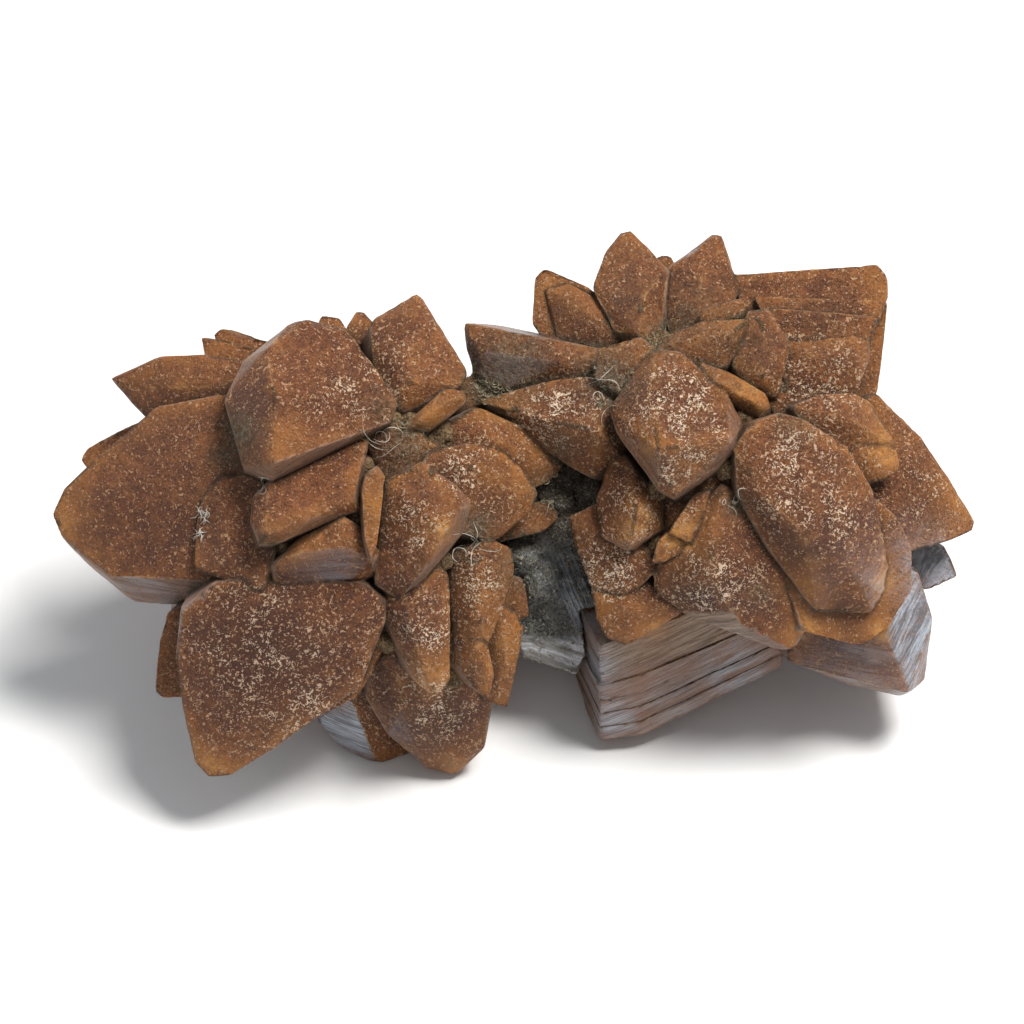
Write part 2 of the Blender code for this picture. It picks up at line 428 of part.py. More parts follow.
def blade_points(heart, direction, length, width, thickness, roll):
    """The corners of a steep blade that grows from the heart: waist, shoulder and a worn tip."""
    direction = Vector(direction).normalized()
    side = Matrix.Rotation(roll, 3, direction) @ direction.cross(Vector((0.2, 0.3, 1.0))).normalized()
    flat = direction.cross(side)
    points = []
    for along, size in ((0.10, 0.6), (BLADE_SHOULDER, 1.0)):
        middle_of_ring = heart + direction * (length * along)
        for a, b in BLADE_SECTION:
            spread = side * (0.5 * width * size * a) + flat * (0.5 * thickness * size * b)
            points.append(middle_of_ring + spread)
    for a, b in BLADE_TIP:
        points.append(heart + direction * length + side * (0.5 * width * a) + flat * (0.5 * thickness * b))
    return points


def back_blades(name, heart, reach, first_turn):
    """Steep blades round the back and underside, spread evenly by the golden angle."""
    golden = math.pi * (3.0 - math.sqrt(5.0))
    blades = []
    for index in range(BACK_BLADES):
        depth_share = -0.30 - 0.68 * (index + 0.5) / BACK_BLADES
        ring = math.sqrt(1.0 - depth_share * depth_share)
        turn = first_turn + golden * index
        direction = Vector((ring * math.cos(turn), ring * math.sin(turn), depth_share))
        length = reach * (1.06 - 0.12 * ring) * (1.0 + 0.06 * math.sin(3.1 * index + first_turn))
        width = BLADE_WIDTH * (1.0 + 0.18 * math.cos(2.3 * index))
        thickness = BLADE_THICKNESS * (1.0 + 0.2 * math.sin(1.7 * index))
        points = blade_points(heart, direction, length, width, thickness, 1.9 * index)
        blades.append((f"{name}_{index}", points))
    return blades


def bridge_blades(name, heart, blades):
    """The blades that tie one rosette to the other."""
    return [(f"{name}_{index}", blade_points(heart, *blade)) for index, blade in enumerate(blades)]


def core(name, heart):
    """The mass in the middle of a rosette that its crystals grow out of."""
    points = []
    for ring, (height, radius) in enumerate(CORE_RINGS):
        for step in range(CORE_SIDES):
            turn = 2 * math.pi * (step + 0.5 * ring) / CORE_SIDES
            spoke = Vector((radius * math.cos(turn), radius * math.sin(turn), height))
            points.append(heart + CORE_RADIUS * spoke)
    return [(name, points)]


def layout_solids():
    """(name, corner points in the layout frame) of every crystal in the cluster."""
    solids = core("left_core", LEFT_HEART) + core("right_core", RIGHT_HEART)
    for items, heart in ((LEFT_ROSETTE, LEFT_HEART), (RIGHT_ROSETTE, RIGHT_HEART)):
        solids += [(item.name, crystal_points(item, heart)) for item in items]
    solids += plate_stack("striated_block", STRIATED_BLOCK_TOP, STRIATED_BLOCK_BOTTOM)
    solids += back_blades("left_back", LEFT_HEART, LEFT_REACH, 0.4)
    solids += back_blades("right_back", RIGHT_HEART, RIGHT_REACH, 1.3)
    solids += bridge_blades("left_bridge", LEFT_HEART, LEFT_BRIDGE)
    solids += bridge_blades("right_bridge", RIGHT_HEART, RIGHT_BRIDGE)
    return solids


# ---------------------------------------------------------------- layout to Blender
def to_world(point):
    """A point of the layout in metres, +Z up, with the resting plane at Z = 0."""
    right, up, out = point
    back = up * math.sin(LEAN_BACK) - out * math.cos(LEAN_BACK)
    height = up * math.cos(LEAN_BACK) + out * math.sin(LEAN_BACK) - STANDS_AT
    return Vector((right, back, height)) * MM


def hull_mesh(name, points):
    """The smallest convex solid round the points, with its flat faces whole."""
    shape = bmesh.new()
    corners = [shape.verts.new(to_world(point)) for point in points]
    bmesh.ops.convex_hull(shape, input=corners)
    inside = [corner for corner in shape.verts if not corner.link_faces]
    bmesh.ops.delete(shape, geom=inside, context="VERTS")
    bmesh.ops.dissolve_limit(shape, angle_limit=FLAT_WITHIN, verts=shape.verts, edges=shape.edges)
    bmesh.ops.recalc_face_normals(shape, faces=shape.faces)
    mesh = bpy.data.meshes.new(name)
    shape.to_mesh(mesh)
    shape.free()
    return mesh


def roughen(mesh):
    """Breaks the surface of the clay up into lumps."""
    shape = bmesh.new()
    shape.from_mesh(mesh)
    bmesh.ops.triangulate(shape, faces=shape.faces)
    for _ in range(2):
        long_edges = [edge for edge in shape.edges if edge.calc_length() > CLAY_MESH * MM]
        bmesh.ops.subdivide_edges(shape, edges=long_edges, cuts=1, use_grid_fill=True)
        bmesh.ops.triangulate(shape, faces=shape.faces)
    shape.normal_update()
    for vertex in shape.verts:
        lump = noise.noise(vertex.co / (CLAY_LUMP * MM))
        vertex.co += vertex.normal * (lump * CLAY_LUMP_HEIGHT * MM)
    shape.to_mesh(mesh)
    shape.free()


def swell(mesh, gap):
    """Moves every face of a convex mesh out by the gap, in metres."""
    shape = bmesh.new()
    shape.from_mesh(mesh)
    shape.normal_update()
    moves = [vertex.normal * (gap * vertex.calc_shell_factor()) for vertex in shape.verts]
    for vertex, move in zip(shape.verts, moves):
        vertex.co += move
    shape.to_mesh(mesh)
    shape.free()


def keep_largest_shell(mesh):
    """Deletes crumbs and sealed hollows: all but the connected surface with the most vertices."""
    shape = bmesh.new()
    shape.from_mesh(mesh)
    waiting = set(shape.verts)
    shells = []
    while waiting:
        shell = set()
        rim = [next(iter(waiting))]
        while rim:
            vertex = rim.pop()
            if vertex in shell:
                continue
            shell.add(vertex)
            rim += [edge.other_vert(vertex) for edge in vertex.link_edges]
        waiting -= shell
        shells.append(shell)
    shells.sort(key=len)
    for shell in shells[:-1]:
        bmesh.ops.delete(shape, geom=list(shell), context="VERTS")
    shape.to_mesh(mesh)
    shape.free()


# ---------------------------------------------------------------- objects
def new_collection(name):
    collection = bpy.data.collections.new(name)
    bpy.context.scene.collection.children.link(collection)
    return collection


def helper(name, mesh, collection):
    """An object that only a Boolean uses."""
    thing = bpy.data.objects.new(name, mesh)
    thing.hide_render = True
    thing.display_type = "WIRE"
    collection.objects.link(thing)


def add_boolean(thing, operation, collection):
    """A Boolean between the object and all that the collection holds."""
    modifier = thing.modifiers.new(operation.title(), "BOOLEAN")
    modifier.operation = operation
    modifier.operand_type = "COLLECTION"
    modifier.collection = collection
    modifier.solver = "EXACT"


def surface(name, colour, roughness):
    """A plain Principled material."""
    material = bpy.data.materials.new(name)
    material.use_nodes = True
    shader = material.node_tree.nodes["Principled BSDF"]
    shader.inputs["Base Color"].default_value = colour
    shader.inputs["Roughness"].default_value = roughness
    shader.inputs["Metallic"].default_value = 0.0
    return material


def finish(thing, material):
    """Applies the object's Booleans, keeps one clean body and gives it its material."""
    graph = bpy.context.evaluated_depsgraph_get()
    mesh = bpy.data.meshes.new_from_object(thing.evaluated_get(graph))
    thing.modifiers.clear()
    thing.data = mesh
    keep_largest_shell(mesh)
    mesh.materials.clear()
    mesh.materials.append(material)


def build_cluster():
    """All the crystals as one solid, cut flat where it stands."""
    crystals = new_collection("crystals")
    below = new_collection("below")
    (first_name, first_points), *others = layout_solids()
    for name, points in others:
        helper(name, hull_mesh(name, points), crystals)
    bench = bpy.data.meshes.new("bench")
    shape = bmesh.new()
    side = BENCH_SIDE * MM
    bmesh.ops.create_cube(shape, size=side, matrix=Matrix.Translation((0.0, 0.0, -side / 2)))
    shape.to_mesh(bench)
    shape.free()
    helper("bench", bench, below)
    cluster = bpy.data.objects.new("crystal_cluster", hull_mesh(first_name, first_points))
    bpy.context.scene.collection.objects.link(cluster)
    add_boolean(cluster, "UNION", crystals)
    add_boolean(cluster, "DIFFERENCE", below)
    finish(cluster, surface("calcite", CALCITE_COLOUR, 0.42))
    return cluster


def build_clay():
    """The clay between the rosettes, hollowed out by the crystals that it lies against."""
    swollen = new_collection("swollen crystals")
    for name, points in layout_solids():
        mesh = hull_mesh(name + "_swollen", points)
        swell(mesh, CLAY_GAP * MM)
        helper(mesh.name, mesh, swollen)
    mesh = hull_mesh(CLAY.name, crystal_points(CLAY, (LEFT_HEART + RIGHT_HEART) / 2))
    roughen(mesh)
    clay = bpy.data.objects.new(CLAY.name, mesh)
    bpy.context.scene.collection.objects.link(clay)
    add_boolean(clay, "DIFFERENCE", swollen)
    finish(clay, surface("clay", CLAY_COLOUR, 0.9))
    return clay


def centre_on_origin(things):
    """Moves the meshes so that the middle of their box's underside is the origin."""
    corners = [vertex.co for thing in things for vertex in thing.data.vertices]
    low = [min(corner[axis] for corner in corners) for axis in range(2)]
    high = [max(corner[axis] for corner in corners) for axis in range(2)]
    shift = Vector((-(low[0] + high[0]) / 2, -(low[1] + high[1]) / 2, 0.0))
    for thing in things:
        thing.data.transform(Matrix.Translation(shift))


def main():
    for thing in list(bpy.data.objects):
        bpy.data.objects.remove(thing, do_unlink=True)
    centre_on_origin([build_cluster(), build_clay()])


if __name__ == "__main__":
    main()
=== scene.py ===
"""A glendonite specimen: two grown-together rosettes of waxy brown calcite, with clay between."""

import math

import bmesh
import bpy
import numpy as np
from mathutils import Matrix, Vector, noise
from mathutils.bvhtree import BVHTree
from mathutils.kdtree import KDTree


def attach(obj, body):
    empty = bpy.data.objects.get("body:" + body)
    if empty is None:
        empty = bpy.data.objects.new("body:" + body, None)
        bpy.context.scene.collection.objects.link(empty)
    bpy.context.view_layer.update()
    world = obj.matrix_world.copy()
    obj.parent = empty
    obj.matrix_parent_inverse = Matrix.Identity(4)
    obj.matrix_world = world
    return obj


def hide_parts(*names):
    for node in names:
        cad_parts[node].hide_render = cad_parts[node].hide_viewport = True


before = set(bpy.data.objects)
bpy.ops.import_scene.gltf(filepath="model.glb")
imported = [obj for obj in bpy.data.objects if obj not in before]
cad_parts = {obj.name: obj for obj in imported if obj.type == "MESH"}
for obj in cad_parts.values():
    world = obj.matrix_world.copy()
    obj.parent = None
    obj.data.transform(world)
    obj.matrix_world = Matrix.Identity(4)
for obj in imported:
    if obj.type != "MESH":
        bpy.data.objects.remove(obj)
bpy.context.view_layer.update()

MM = 0.001

# The crystals were laid out on a plate that leans back. Places below are given on that plate in
# millimetres: across to the right, up along it, and out from it.
LEAN_BACK = math.radians(55.0)
ACROSS = np.array([1.0, 0.0, 0.0])
UP = np.array([0.0, math.sin(LEAN_BACK), math.cos(LEAN_BACK)])
OUT = np.array([0.0, -math.cos(LEAN_BACK), math.sin(LEAN_BACK)])
PLATE_CENTRE = np.array([0.0, -2.890, 24.0])

# A face that looks outward by less than this is on the back. There the growth plates are shells
# about the nearer of the rosettes' two hearts: across, up and out.
TURNED_AWAY = -0.15
HEARTS = [(-21.2, -3.3, -6.0), (20.3, 2.4, -6.0)]

# How finely the crystals are cut up, and which corners stand out or are hollow.
LONGEST_EDGE = 0.8
MOST_TRIANGLES = 194000
SHARP_CORNER = math.radians(22.0)
HOLLOW_CORNER = math.radians(14.0)
EDGE_SAMPLE = 0.3

# How far off a corner, another crystal or a far side still counts.
REACH = 6.0
CREVICE_REACH = 9.0
DEEPEST = 12.0
RAYS_OUT = 16

# How uneven the crystal faces are, as depths, sizes of bump and seeds, and how deep the rest goes.
UNEVEN = [(0.07, 6.0, 1), (0.05, 2.2, 2), (0.03, 0.9, 3)]
TERRACE_DEPTH = 0.05
CHIP_DEPTH = 0.07
RIDGE_DEPTH = 0.05
BLOCK_RIDGE_DEPTH = 0.10

# The plates of the striated block lie across this direction. The block lies between two corners,
# across and up, and its faces that look outward by more than the last number have no striations.
STRIATED_ACROSS = (-0.38, 0.66, 0.65)
STRIATED_PLACE = ((5.0, -26.0), (30.0, -11.0))
STRIATED_FACING = 0.82

# The pale cracked ledges on top of the striated block end below on this line: across, up and slope.
LEDGE_LINE = (9.1, -17.3, 0.28)

# Loose things: how many of each, and how finely they are made.
CRYSTAL_CRUMBS = 1500
CLAY_CRUMBS = 2600
CRYSTAL_CURLS = 1500
CLAY_CURLS = 500
CURL_STEPS = 4
LINT_STEPS = 14
TUBE_SIDES = 3
TUBE_TAPER = 0.35
VOXEL = 0.2

# Patches of the plate, each given by its place across and up, its radius and its strength. They
# fade out between two depths behind the plate.
FRONT = (-15.0, -9.0)

# Where the wax is amber, with a painted hot spot of light in the strongest patches.
AMBER = [
    (-46.0, 3.0, 3.0, 0.6), (-45.0, -2.0, 2.4, 0.7), (-42.2, -6.4, 2.2, 0.7),
    (-38.5, -9.0, 2.0, 0.5), (-30.5, -27.0, 3.0, 0.9), (-22.0, -23.5, 2.2, 0.6),
    (-22.5, 6.5, 2.6, 0.6), (-20.5, -3.6, 2.2, 0.5), (-13.9, 0.0, 2.6, 0.6),
    (-7.4, -2.9, 2.2, 1.0), (-8.0, 8.6, 2.6, 0.5), (-3.2, -9.0, 2.6, 0.6),
    (-8.2, -17.6, 2.4, 1.0), (-1.5, -14.0, 3.0, 0.7), (-6.5, -26.5, 2.4, 0.7),
    (-1.5, 3.0, 4.0, 0.5), (2.5, 5.5, 3.0, 0.5), (-2.0, 9.8, 2.4, 0.6),
    (3.0, 22.5, 2.2, 0.7), (13.2, 5.5, 1.8, 0.8), (17.5, 3.6, 2.6, 0.6),
    (22.8, 11.0, 2.8, 0.9), (12.0, -3.0, 2.4, 1.0), (13.2, -1.2, 1.8, 1.0),
    (16.4, -3.4, 3.2, 1.0), (9.0, -9.4, 2.4, 0.7), (14.0, -12.6, 2.4, 0.8),
    (29.0, -12.6, 2.4, 0.9), (29.0, -8.5, 2.4, 0.8), (36.8, -8.0, 2.4, 0.9),
    (37.0, -13.0, 2.0, 1.0), (36.6, 5.0, 2.6, 1.0), (35.6, 9.5, 2.2, 0.4),
    (36.6, 21.5, 2.4, 0.5), (44.0, 0.0, 3.6, 0.5),
]

# Where it is a dark red-brown.
DUSKY = [
    (-25.0, -15.0, 8.5, 1.0), (-8.5, -20.5, 5.0, 1.0), (-2.4, 2.2, 3.4, 0.8),
    (-26.8, 9.0, 3.0, 0.5), (-35.0, -3.0, 5.0, 0.4), (9.5, 5.5, 3.4, 0.7),
    (9.5, 0.5, 2.4, 0.7), (28.6, -5.8, 4.2, 1.0), (33.4, -12.3, 3.2, 1.0),
    (18.0, -8.0, 4.8, 1.0), (26.0, -3.0, 4.6, 0.7), (16.5, 9.0, 4.0, 0.5),
    (41.0, 0.5, 3.6, 0.4), (-17.0, 12.0, 5.0, 0.4),
]

# Where cream flecks crowd together.
FLECKED = [
    (-15.0, 11.0, 5.0, 0.35), (-24.0, -14.0, 7.5, 0.40), (-20.0, -21.5, 6.0, 0.45),
    (-8.0, -19.5, 4.0, 0.6), (-5.0, 3.6, 4.0, 0.5), (12.6, -1.0, 3.4, 0.5),
    (8.4, -7.6, 3.6, 0.8), (-9.0, -2.0, 3.6, 0.5), (-8.6, -12.5, 3.0, 0.7),
    (-4.0, -8.0, 3.4, 0.6), (4.0, 9.0, 4.5, 0.6), (16.5, 9.0, 5.5, 0.65),
    (16.8, 3.0, 3.4, 0.8), (20.5, -9.0, 4.6, 0.65), (28.0, 3.0, 5.0, 0.65),
    (31.5, -1.5, 4.0, 0.5), (9.5, -6.5, 3.4, 0.7), (40.0, 1.0, 5.0, 0.25),
    (30.0, 12.5, 4.0, 0.6),
]

# Where there are next to none.
SMOOTH = [
    (-38.0, 0.0, 9.0, 0.7), (-20.0, 2.6, 4.2, 0.9), (-18.5, -6.0, 4.6, 0.8),
    (-8.0, 8.8, 2.6, 0.8), (22.4, 11.2, 3.0, 0.8), (18.8, 22.0, 3.4, 0.6),
    (33.5, -14.5, 5.0, 0.7), (-34.0, 12.5, 5.0, 0.6), (29.0, -7.0, 3.4, 0.9),
    (22.0, -17.5, 7.0, 0.9),
]

# Where steep flanks are pale, with a silvery film and a painted sheen of the pale surroundings.
PALE = [
    (-46.0, -4.0, 4.0, 0.3), (-38.0, -7.0, 4.0, 0.4), (-39.8, 7.4, 1.2, 0.8),
    (-34.6, -11.6, 2.2, 0.5), (-17.4, -24.0, 3.2, 1.0), (-2.4, -22.0, 1.8, 0.9),
    (0.5, 18.0, 1.6, 0.5), (15.4, 25.6, 1.4, 0.9), (17.6, 26.0, 1.4, 0.9),
    (8.0, -11.0, 2.6, 0.4), (7.6, -17.0, 2.6, 0.7), (10.0, -22.5, 2.6, 0.6),
    (16.5, -20.5, 3.2, 0.3), (22.0, -17.2, 3.2, 0.6), (29.0, -14.0, 1.6, 0.8),
    (41.2, -13.6, 3.6, 1.0), (40.4, -18.0, 2.6, 0.9), (42.6, -6.4, 3.2, 1.0),
    (33.0, -15.6, 5.0, 0.5), (6.4, -10.0, 1.6, 0.9),
]

# Whole faces with silvery film and painted sheen: across, up, radius, strength, which way the face
# looks.
SILVER_FACES = [
    (40.8, -13.8, 7.0, 1.0, (0.49, -0.24, 0.84)),
    (42.4, -6.4, 3.6, 1.3, (0.15, -0.10, 0.98)),
    (-17.0, -23.0, 5.0, 1.3, (-0.28, -0.65, 0.70)),
    (34.0, -16.0, 8.0, 0.28, (-0.11, -0.50, 0.86)),
    (-18.0, -6.4, 3.2, 0.26, (0.03, -0.70, 0.71)),
    (-0.4, 13.9, 3.4, 0.35, (-0.24, -0.36, 0.90)),
]
# Faces agree in which way they look between these two cosines.
SAME_WAY = (0.975, 0.995)

# Where grey-green clay still sticks to the crystals.
CLAY_CRUST = [
    (-2.6, 11.8, 2.4, 1.0), (-0.2, 13.8, 3.8, 0.8), (-10.6, 6.2, 2.6, 0.9),
    (-13.0, 9.4, 2.0, 0.5), (-3.6, -2.6, 1.8, 1.0), (4.2, 1.0, 2.4, 1.0),
    (4.6, 5.2, 2.0, 0.6), (-28.6, 4.6, 1.8, 0.8), (-27.4, 8.0, 1.6, 0.5),
    (9.4, 12.6, 3.2, 0.9), (14.6, 16.4, 2.4, 0.7), (17.4, 18.6, 2.2, 0.6),
    (22.0, -0.2, 1.2, 1.0), (24.6, -9.2, 1.6, 0.5), (28.0, 7.6, 2.0, 0.4),
    (-24.2, -4.6, 1.2, 0.4), (2.0, -6.0, 3.6, 0.9), (12.5, 20.5, 4.5, 0.26),
    (18.5, 19.0, 4.0, 0.40), (5.0, 17.0, 5.0, 0.24), (10.0, 14.0, 5.0, 0.34),
    (22.0, 15.5, 4.5, 0.34), (30.0, 17.0, 4.5, 0.24), (-10.0, 6.0, 4.5, 0.30),
    (-27.4, 7.0, 1.8, 1.0),
]

# Hollows between crystals that dirt has filled: across, up, the height of the fill and its radius.
# The lumps of dirt stand a little lower.
DIRT_SUNK = 0.35
FILLED_HOLLOWS = [
    (-7.5, 6.6, 4.7, 1.8), (-10.6, 8.3, 5.6, 1.2), (-11.9, 8.5, 5.8, 1.1),
    (-22.8, -4.4, 6.3, 1.4), (-15.8, -1.6, 7.6, 1.3), (-14.4, 3.6, 5.8, 1.2),
    (-12.8, -13.6, 2.3, 1.4), (-7.1, -6.0, 4.7, 1.0), (-5.6, -4.1, 2.8, 1.3),
    (-6.0, -17.4, -0.8, 1.2), (14.1, -3.9, 2.3, 1.7), (14.1, 1.2, 5.7, 1.2),
    (21.2, 3.5, 6.2, 1.3), (23.0, 8.4, 5.6, 1.5), (14.5, 16.0, 3.4, 1.2),
    (26.6, 11.1, 3.5, 1.0),
]

# Lumps of the clay between the rosettes, given in the same way.
CLAY_LUMPS = [
    (5.0, -2.2, -1.6, 2.0), (3.1, 1.0, -1.2, 1.8), (5.4, 2.4, -1.6, 2.0),
    (4.6, 0.2, -0.9, 1.6), (8.0, 1.6, -1.6, 1.4), (0.8, -5.4, -1.9, 1.8),
    (2.6, -8.0, -2.6, 2.2),
]
# The foot's pale bands are partly a crystal flank's striations, partly a painted reflection of the
# floor.
# The clay has a pale banded foot below this, which starts over this height.
CLAY_FOOT = -13.0
FOOT_BLEND = 1.6

# The streaks are painted sheen on the clay, for a steep striated crystal flank that isn't modelled.
# Silvery streaks beside the right rosette: across, up, half their width and how far they slant.
CLAY_STREAKS = (6.8, -10.6, 1.9, -0.42)

# Tufts of lint caught on the crystals: across, up, radius, strands.
LINT = [
    (-31.0, -1.4, 0.65, 16), (-31.2, -3.2, 0.6, 10), (-25.0, 1.8, 0.9, 4),
    (9.0, 11.8, 1.8, 5), (-12.8, 6.0, 1.6, 6), (-4.6, -3.6, 1.6, 6),
    (5.0, 0.6, 1.8, 6), (22.0, -0.4, 1.0, 4),
]
# A strand is dropped on the crystals from this far out, and each step is this share of the radius.
LINT_DROP = 30.0
LINT_STRIDE = 0.14

# The camera looks straight at this place on the plate.
VIEW_CENTRE = (-0.2, -1.0)
SENSOR = 36.0

# In metres: the camera's distance, the width it sees, and the floor's width and drop.
VIEW_DISTANCE = 1.5
VIEW_WIDTH = 0.1024
NEAREST_SEEN = 0.05
FLOOR_WIDTH = 6.0
FLOOR_DROP = 0.0001

# Which sockets of a Mix node are its factor, its two colours and the colour it gives.
MIX_SHARE, MIX_FIRST, MIX_SECOND, MIX_RESULT = 0, 6, 7, 2


def to_plate(points):
    """World millimetres to (across, up, out)."""
    from_centre = points - PLATE_CENTRE
    return np.stack([from_centre @ ACROSS, from_centre @ UP, from_centre @ OUT], axis=1)


def to_world(across, up, out):
    """(across, up, out) to world millimetres."""
    return PLATE_CENTRE + across * ACROSS + up * UP + out * OUT


def ramp(value, low, high):
    """0 at low, 1 at high, smooth between them; low may be above high."""
    share = np.clip((value - low) / (high - low), 0.0, 1.0)
    return share * share * (3.0 - 2.0 * share)


# ---- pieces


def select_only(piece):
    """Selects this piece alone."""
    bpy.ops.object.select_all(action="DESELECT")
    piece.select_set(True)
    bpy.context.view_layer.objects.active = piece


def copy_of(node, name):
    """A merged copy of a CAD node's mesh, as a new piece."""
    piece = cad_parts[node].copy()
    piece.data = piece.data.copy()
    piece.parent = None
    piece.name = name
    piece.data.name = name
    for key in list(piece.keys()):
        del piece[key]
    bpy.context.scene.collection.objects.link(piece)
    piece.data.materials.clear()
    select_only(piece)
    bpy.ops.object.mode_set(mode="EDIT")
    bpy.ops.mesh.select_all(action="SELECT")
    bpy.ops.mesh.remove_doubles(threshold=1e-6)
    bpy.ops.object.mode_set(mode="OBJECT")
    return piece


def apply_modifier(piece, kind, **settings):
    """Adds a modifier and applies it."""
    select_only(piece)
    modifier = piece.modifiers.new(kind.lower(), kind)
    for name, value in settings.items():
        setattr(modifier, name, value)
    bpy.ops.object.modifier_apply(modifier=modifier.name)


def round_lumps(lumps):
    """Round lumps in one object, each by its place across and up, its top and its radius."""
    bpy.ops.object.select_all(action="DESELECT")
    balls = []
    for across, up, top, radius in lumps:
        centre = to_world(across, up, top - radius) * MM
        bpy.ops.mesh.primitive_ico_sphere_add(subdivisions=3, radius=radius * MM, location=centre)
        bpy.ops.object.transform_apply(location=True)
        balls.append(bpy.context.object)
    for ball in balls:
        ball.select_set(True)
    bpy.ops.object.join()
    return bpy.context.object


def points_of(piece):
    """The piece's points and their normals, in millimetres."""
    mesh = piece.data
    points = np.empty(len(mesh.vertices) * 3, np.float32)
    mesh.vertices.foreach_get("co", points)
    normals = np.empty(len(mesh.vertices) * 3, np.float32)
    mesh.vertex_normals.foreach_get("vector", normals)
    return points.reshape(-1, 3).astype(float) / MM, normals.reshape(-1, 3).astype(float)


def put_points(piece, points):
    """Sets the piece's points, in millimetres. None goes below the surface it rests on."""
    points[:, 2] = np.maximum(points[:, 2], 0.0)
    piece.data.vertices.foreach_set("co", (points * MM).astype(np.float32).ravel())
    piece.data.update()


def linked(name, data):
    """A new object in the scene."""
    thing = bpy.data.objects.new(name, data)
    bpy.context.scene.collection.objects.link(thing)
    return thing


def new_piece(name, points, faces):
    """A piece of many small parts, given in millimetres. None goes below the rest plane."""
    points = points.reshape(-1, 3)
    points[:, 2] = np.maximum(points[:, 2], 0.0)
    mesh = bpy.data.meshes.new(name)
    mesh.from_pydata((points * MM).tolist(), [], faces)
    return linked(name, mesh)


def ripple(points, size, seed, octaves=1):
    """Smooth noise between about -1 and 1, with bumps of about size millimetres."""
    offset = Vector((17.3 * seed, -9.1 * seed, 5.7 * seed))
    total = np.zeros(len(points))
    for octave in range(octaves):
        scale = 2.0**octave / size
        heights = (noise.noise(Vector(point) * scale + offset) for point in points)
        total += np.fromiter(heights, float, len(points)) / 2.0**octave
    return total


# ---- the crystal faces


class Facets:
    """The cluster's flat faces, and where its corners stand out or sink in."""

    def __init__(self, piece):
        model = bmesh.new()
        model.from_mesh(piece.data)
        bmesh.ops.triangulate(model, faces=model.faces[:])
        model.normal_update()
        corners = [vertex.co / MM for vertex in model.verts]
        model.verts.index_update()
        triangles = [[vertex.index for vertex in face.verts] for face in model.faces]
        self.tree = BVHTree.FromPolygons(corners, triangles)
        self.normals = np.array([face.normal for face in model.faces])
        self.middles = np.array([face.calc_center_median() for face in model.faces]) / MM
        standing = []
        sunk = []
        for edge in model.edges:
            if len(edge.link_faces) != 2:
                continue
            turn = edge.calc_face_angle_signed(0.0)
            if turn > SHARP_CORNER:
                standing.append(edge)
            elif turn < -HOLLOW_CORNER:
                sunk.append(edge)
        self.rims = self.samples(standing)
        self.seams = self.samples(sunk)
        model.free()

    @staticmethod
    def samples(edges):
        """A tree of points along these edges."""
        points = []
        for edge in edges:
            start, end = (vertex.co / MM for vertex in edge.verts)
            steps = max(1, math.ceil((end - start).length / EDGE_SAMPLE))
            points += [start.lerp(end, step / steps) for step in range(steps + 1)]
        tree = KDTree(len(points))
        for index, point in enumerate(points):
            tree.insert(point, index)
        tree.balance()
        return tree

    def nearest(self, points):
        """The index of the face nearest each point."""
        return np.array([self.tree.find_nearest(point)[2] for point in points])

    def distance(self, tree, points):
        """How far each point is from the edges in the tree, up to REACH."""
        return np.minimum([tree.find(point)[2] for point in points], REACH)

    def tones(self):
        """A number from 0 to 1 for each face, the same all over one crystal plane."""
        offsets = (self.normals * self.middles).sum(axis=1)
        keys = np.round(self.normals @ np.array([31.0, 57.0, 83.0])) + np.round(offsets / 1.5) * 7.0
        return np.modf(np.abs(np.sin(keys * 12.9898) * 43758.5453))[0]

    def flanks(self):
        """1 on the upright side faces, 0 on the faces that look outward, and a mix on the back."""
        outward = self.normals @ OUT
        front = ramp(outward, 0.62, 0.4)
        back = np.where(self.tones() > 0.55, 0.75, 0.1)
        return np.where(outward < TURNED_AWAY, back, front)

    def layers(self, points, near):
        """The growth coordinate of each point, across the plates, and 1 on the striated block."""
        place = to_plate(points)
        outward = self.normals[near] @ OUT
        layer = place[:, 2].copy()
        hearts = [to_world(*heart) for heart in HEARTS]
        spread = np.min([np.linalg.norm(points - heart, axis=1) for heart in hearts], axis=0)
        behind = outward < TURNED_AWAY
        layer[behind] = spread[behind]
        low, high = STRIATED_PLACE
        block = (place[:, 0] > low[0]) & (place[:, 0] < high[0])
        block &= (place[:, 1] > low[1]) & (place[:, 1] < high[1]) & ~behind
        block &= outward < STRIATED_FACING
        across = place @ np.array(STRIATED_ACROSS)
        layer[block] = across[block]
        return layer, block.astype(float)


def ray_directions():
    """RAYS_OUT directions spread over the half sphere about +Z, closer together near the axis."""
    golden = math.pi * (3.0 - math.sqrt(5.0))
    rays = []
    for ray in range(RAYS_OUT):
        lift = math.sqrt(1.0 - (ray + 0.5) / RAYS_OUT)
        spread = math.sqrt(1.0 - lift * lift)
        rays.append((spread * math.cos(golden * ray), spread * math.sin(golden * ray), lift))
    return rays


def shelter(facets, points, normals):
    """How enclosed each point is, from 0 in the open to 1 in a deep crevice."""
    rays = ray_directions()
    sheltered = np.zeros(len(points))
    for index, (point, normal) in enumerate(zip(points, normals)):
        turn = Vector(normal).to_track_quat("Z", "X").to_matrix()
        start = Vector(point) + Vector(normal) * 0.15
        total = 0.0
        for ray in rays:
            _, _, _, far = facets.tree.ray_cast(start, turn @ Vector(ray), CREVICE_REACH)
            if far is not None:
                total += 1.0 - 0.5 * far / CREVICE_REACH
        sheltered[index] = total / RAYS_OUT
    return sheltered


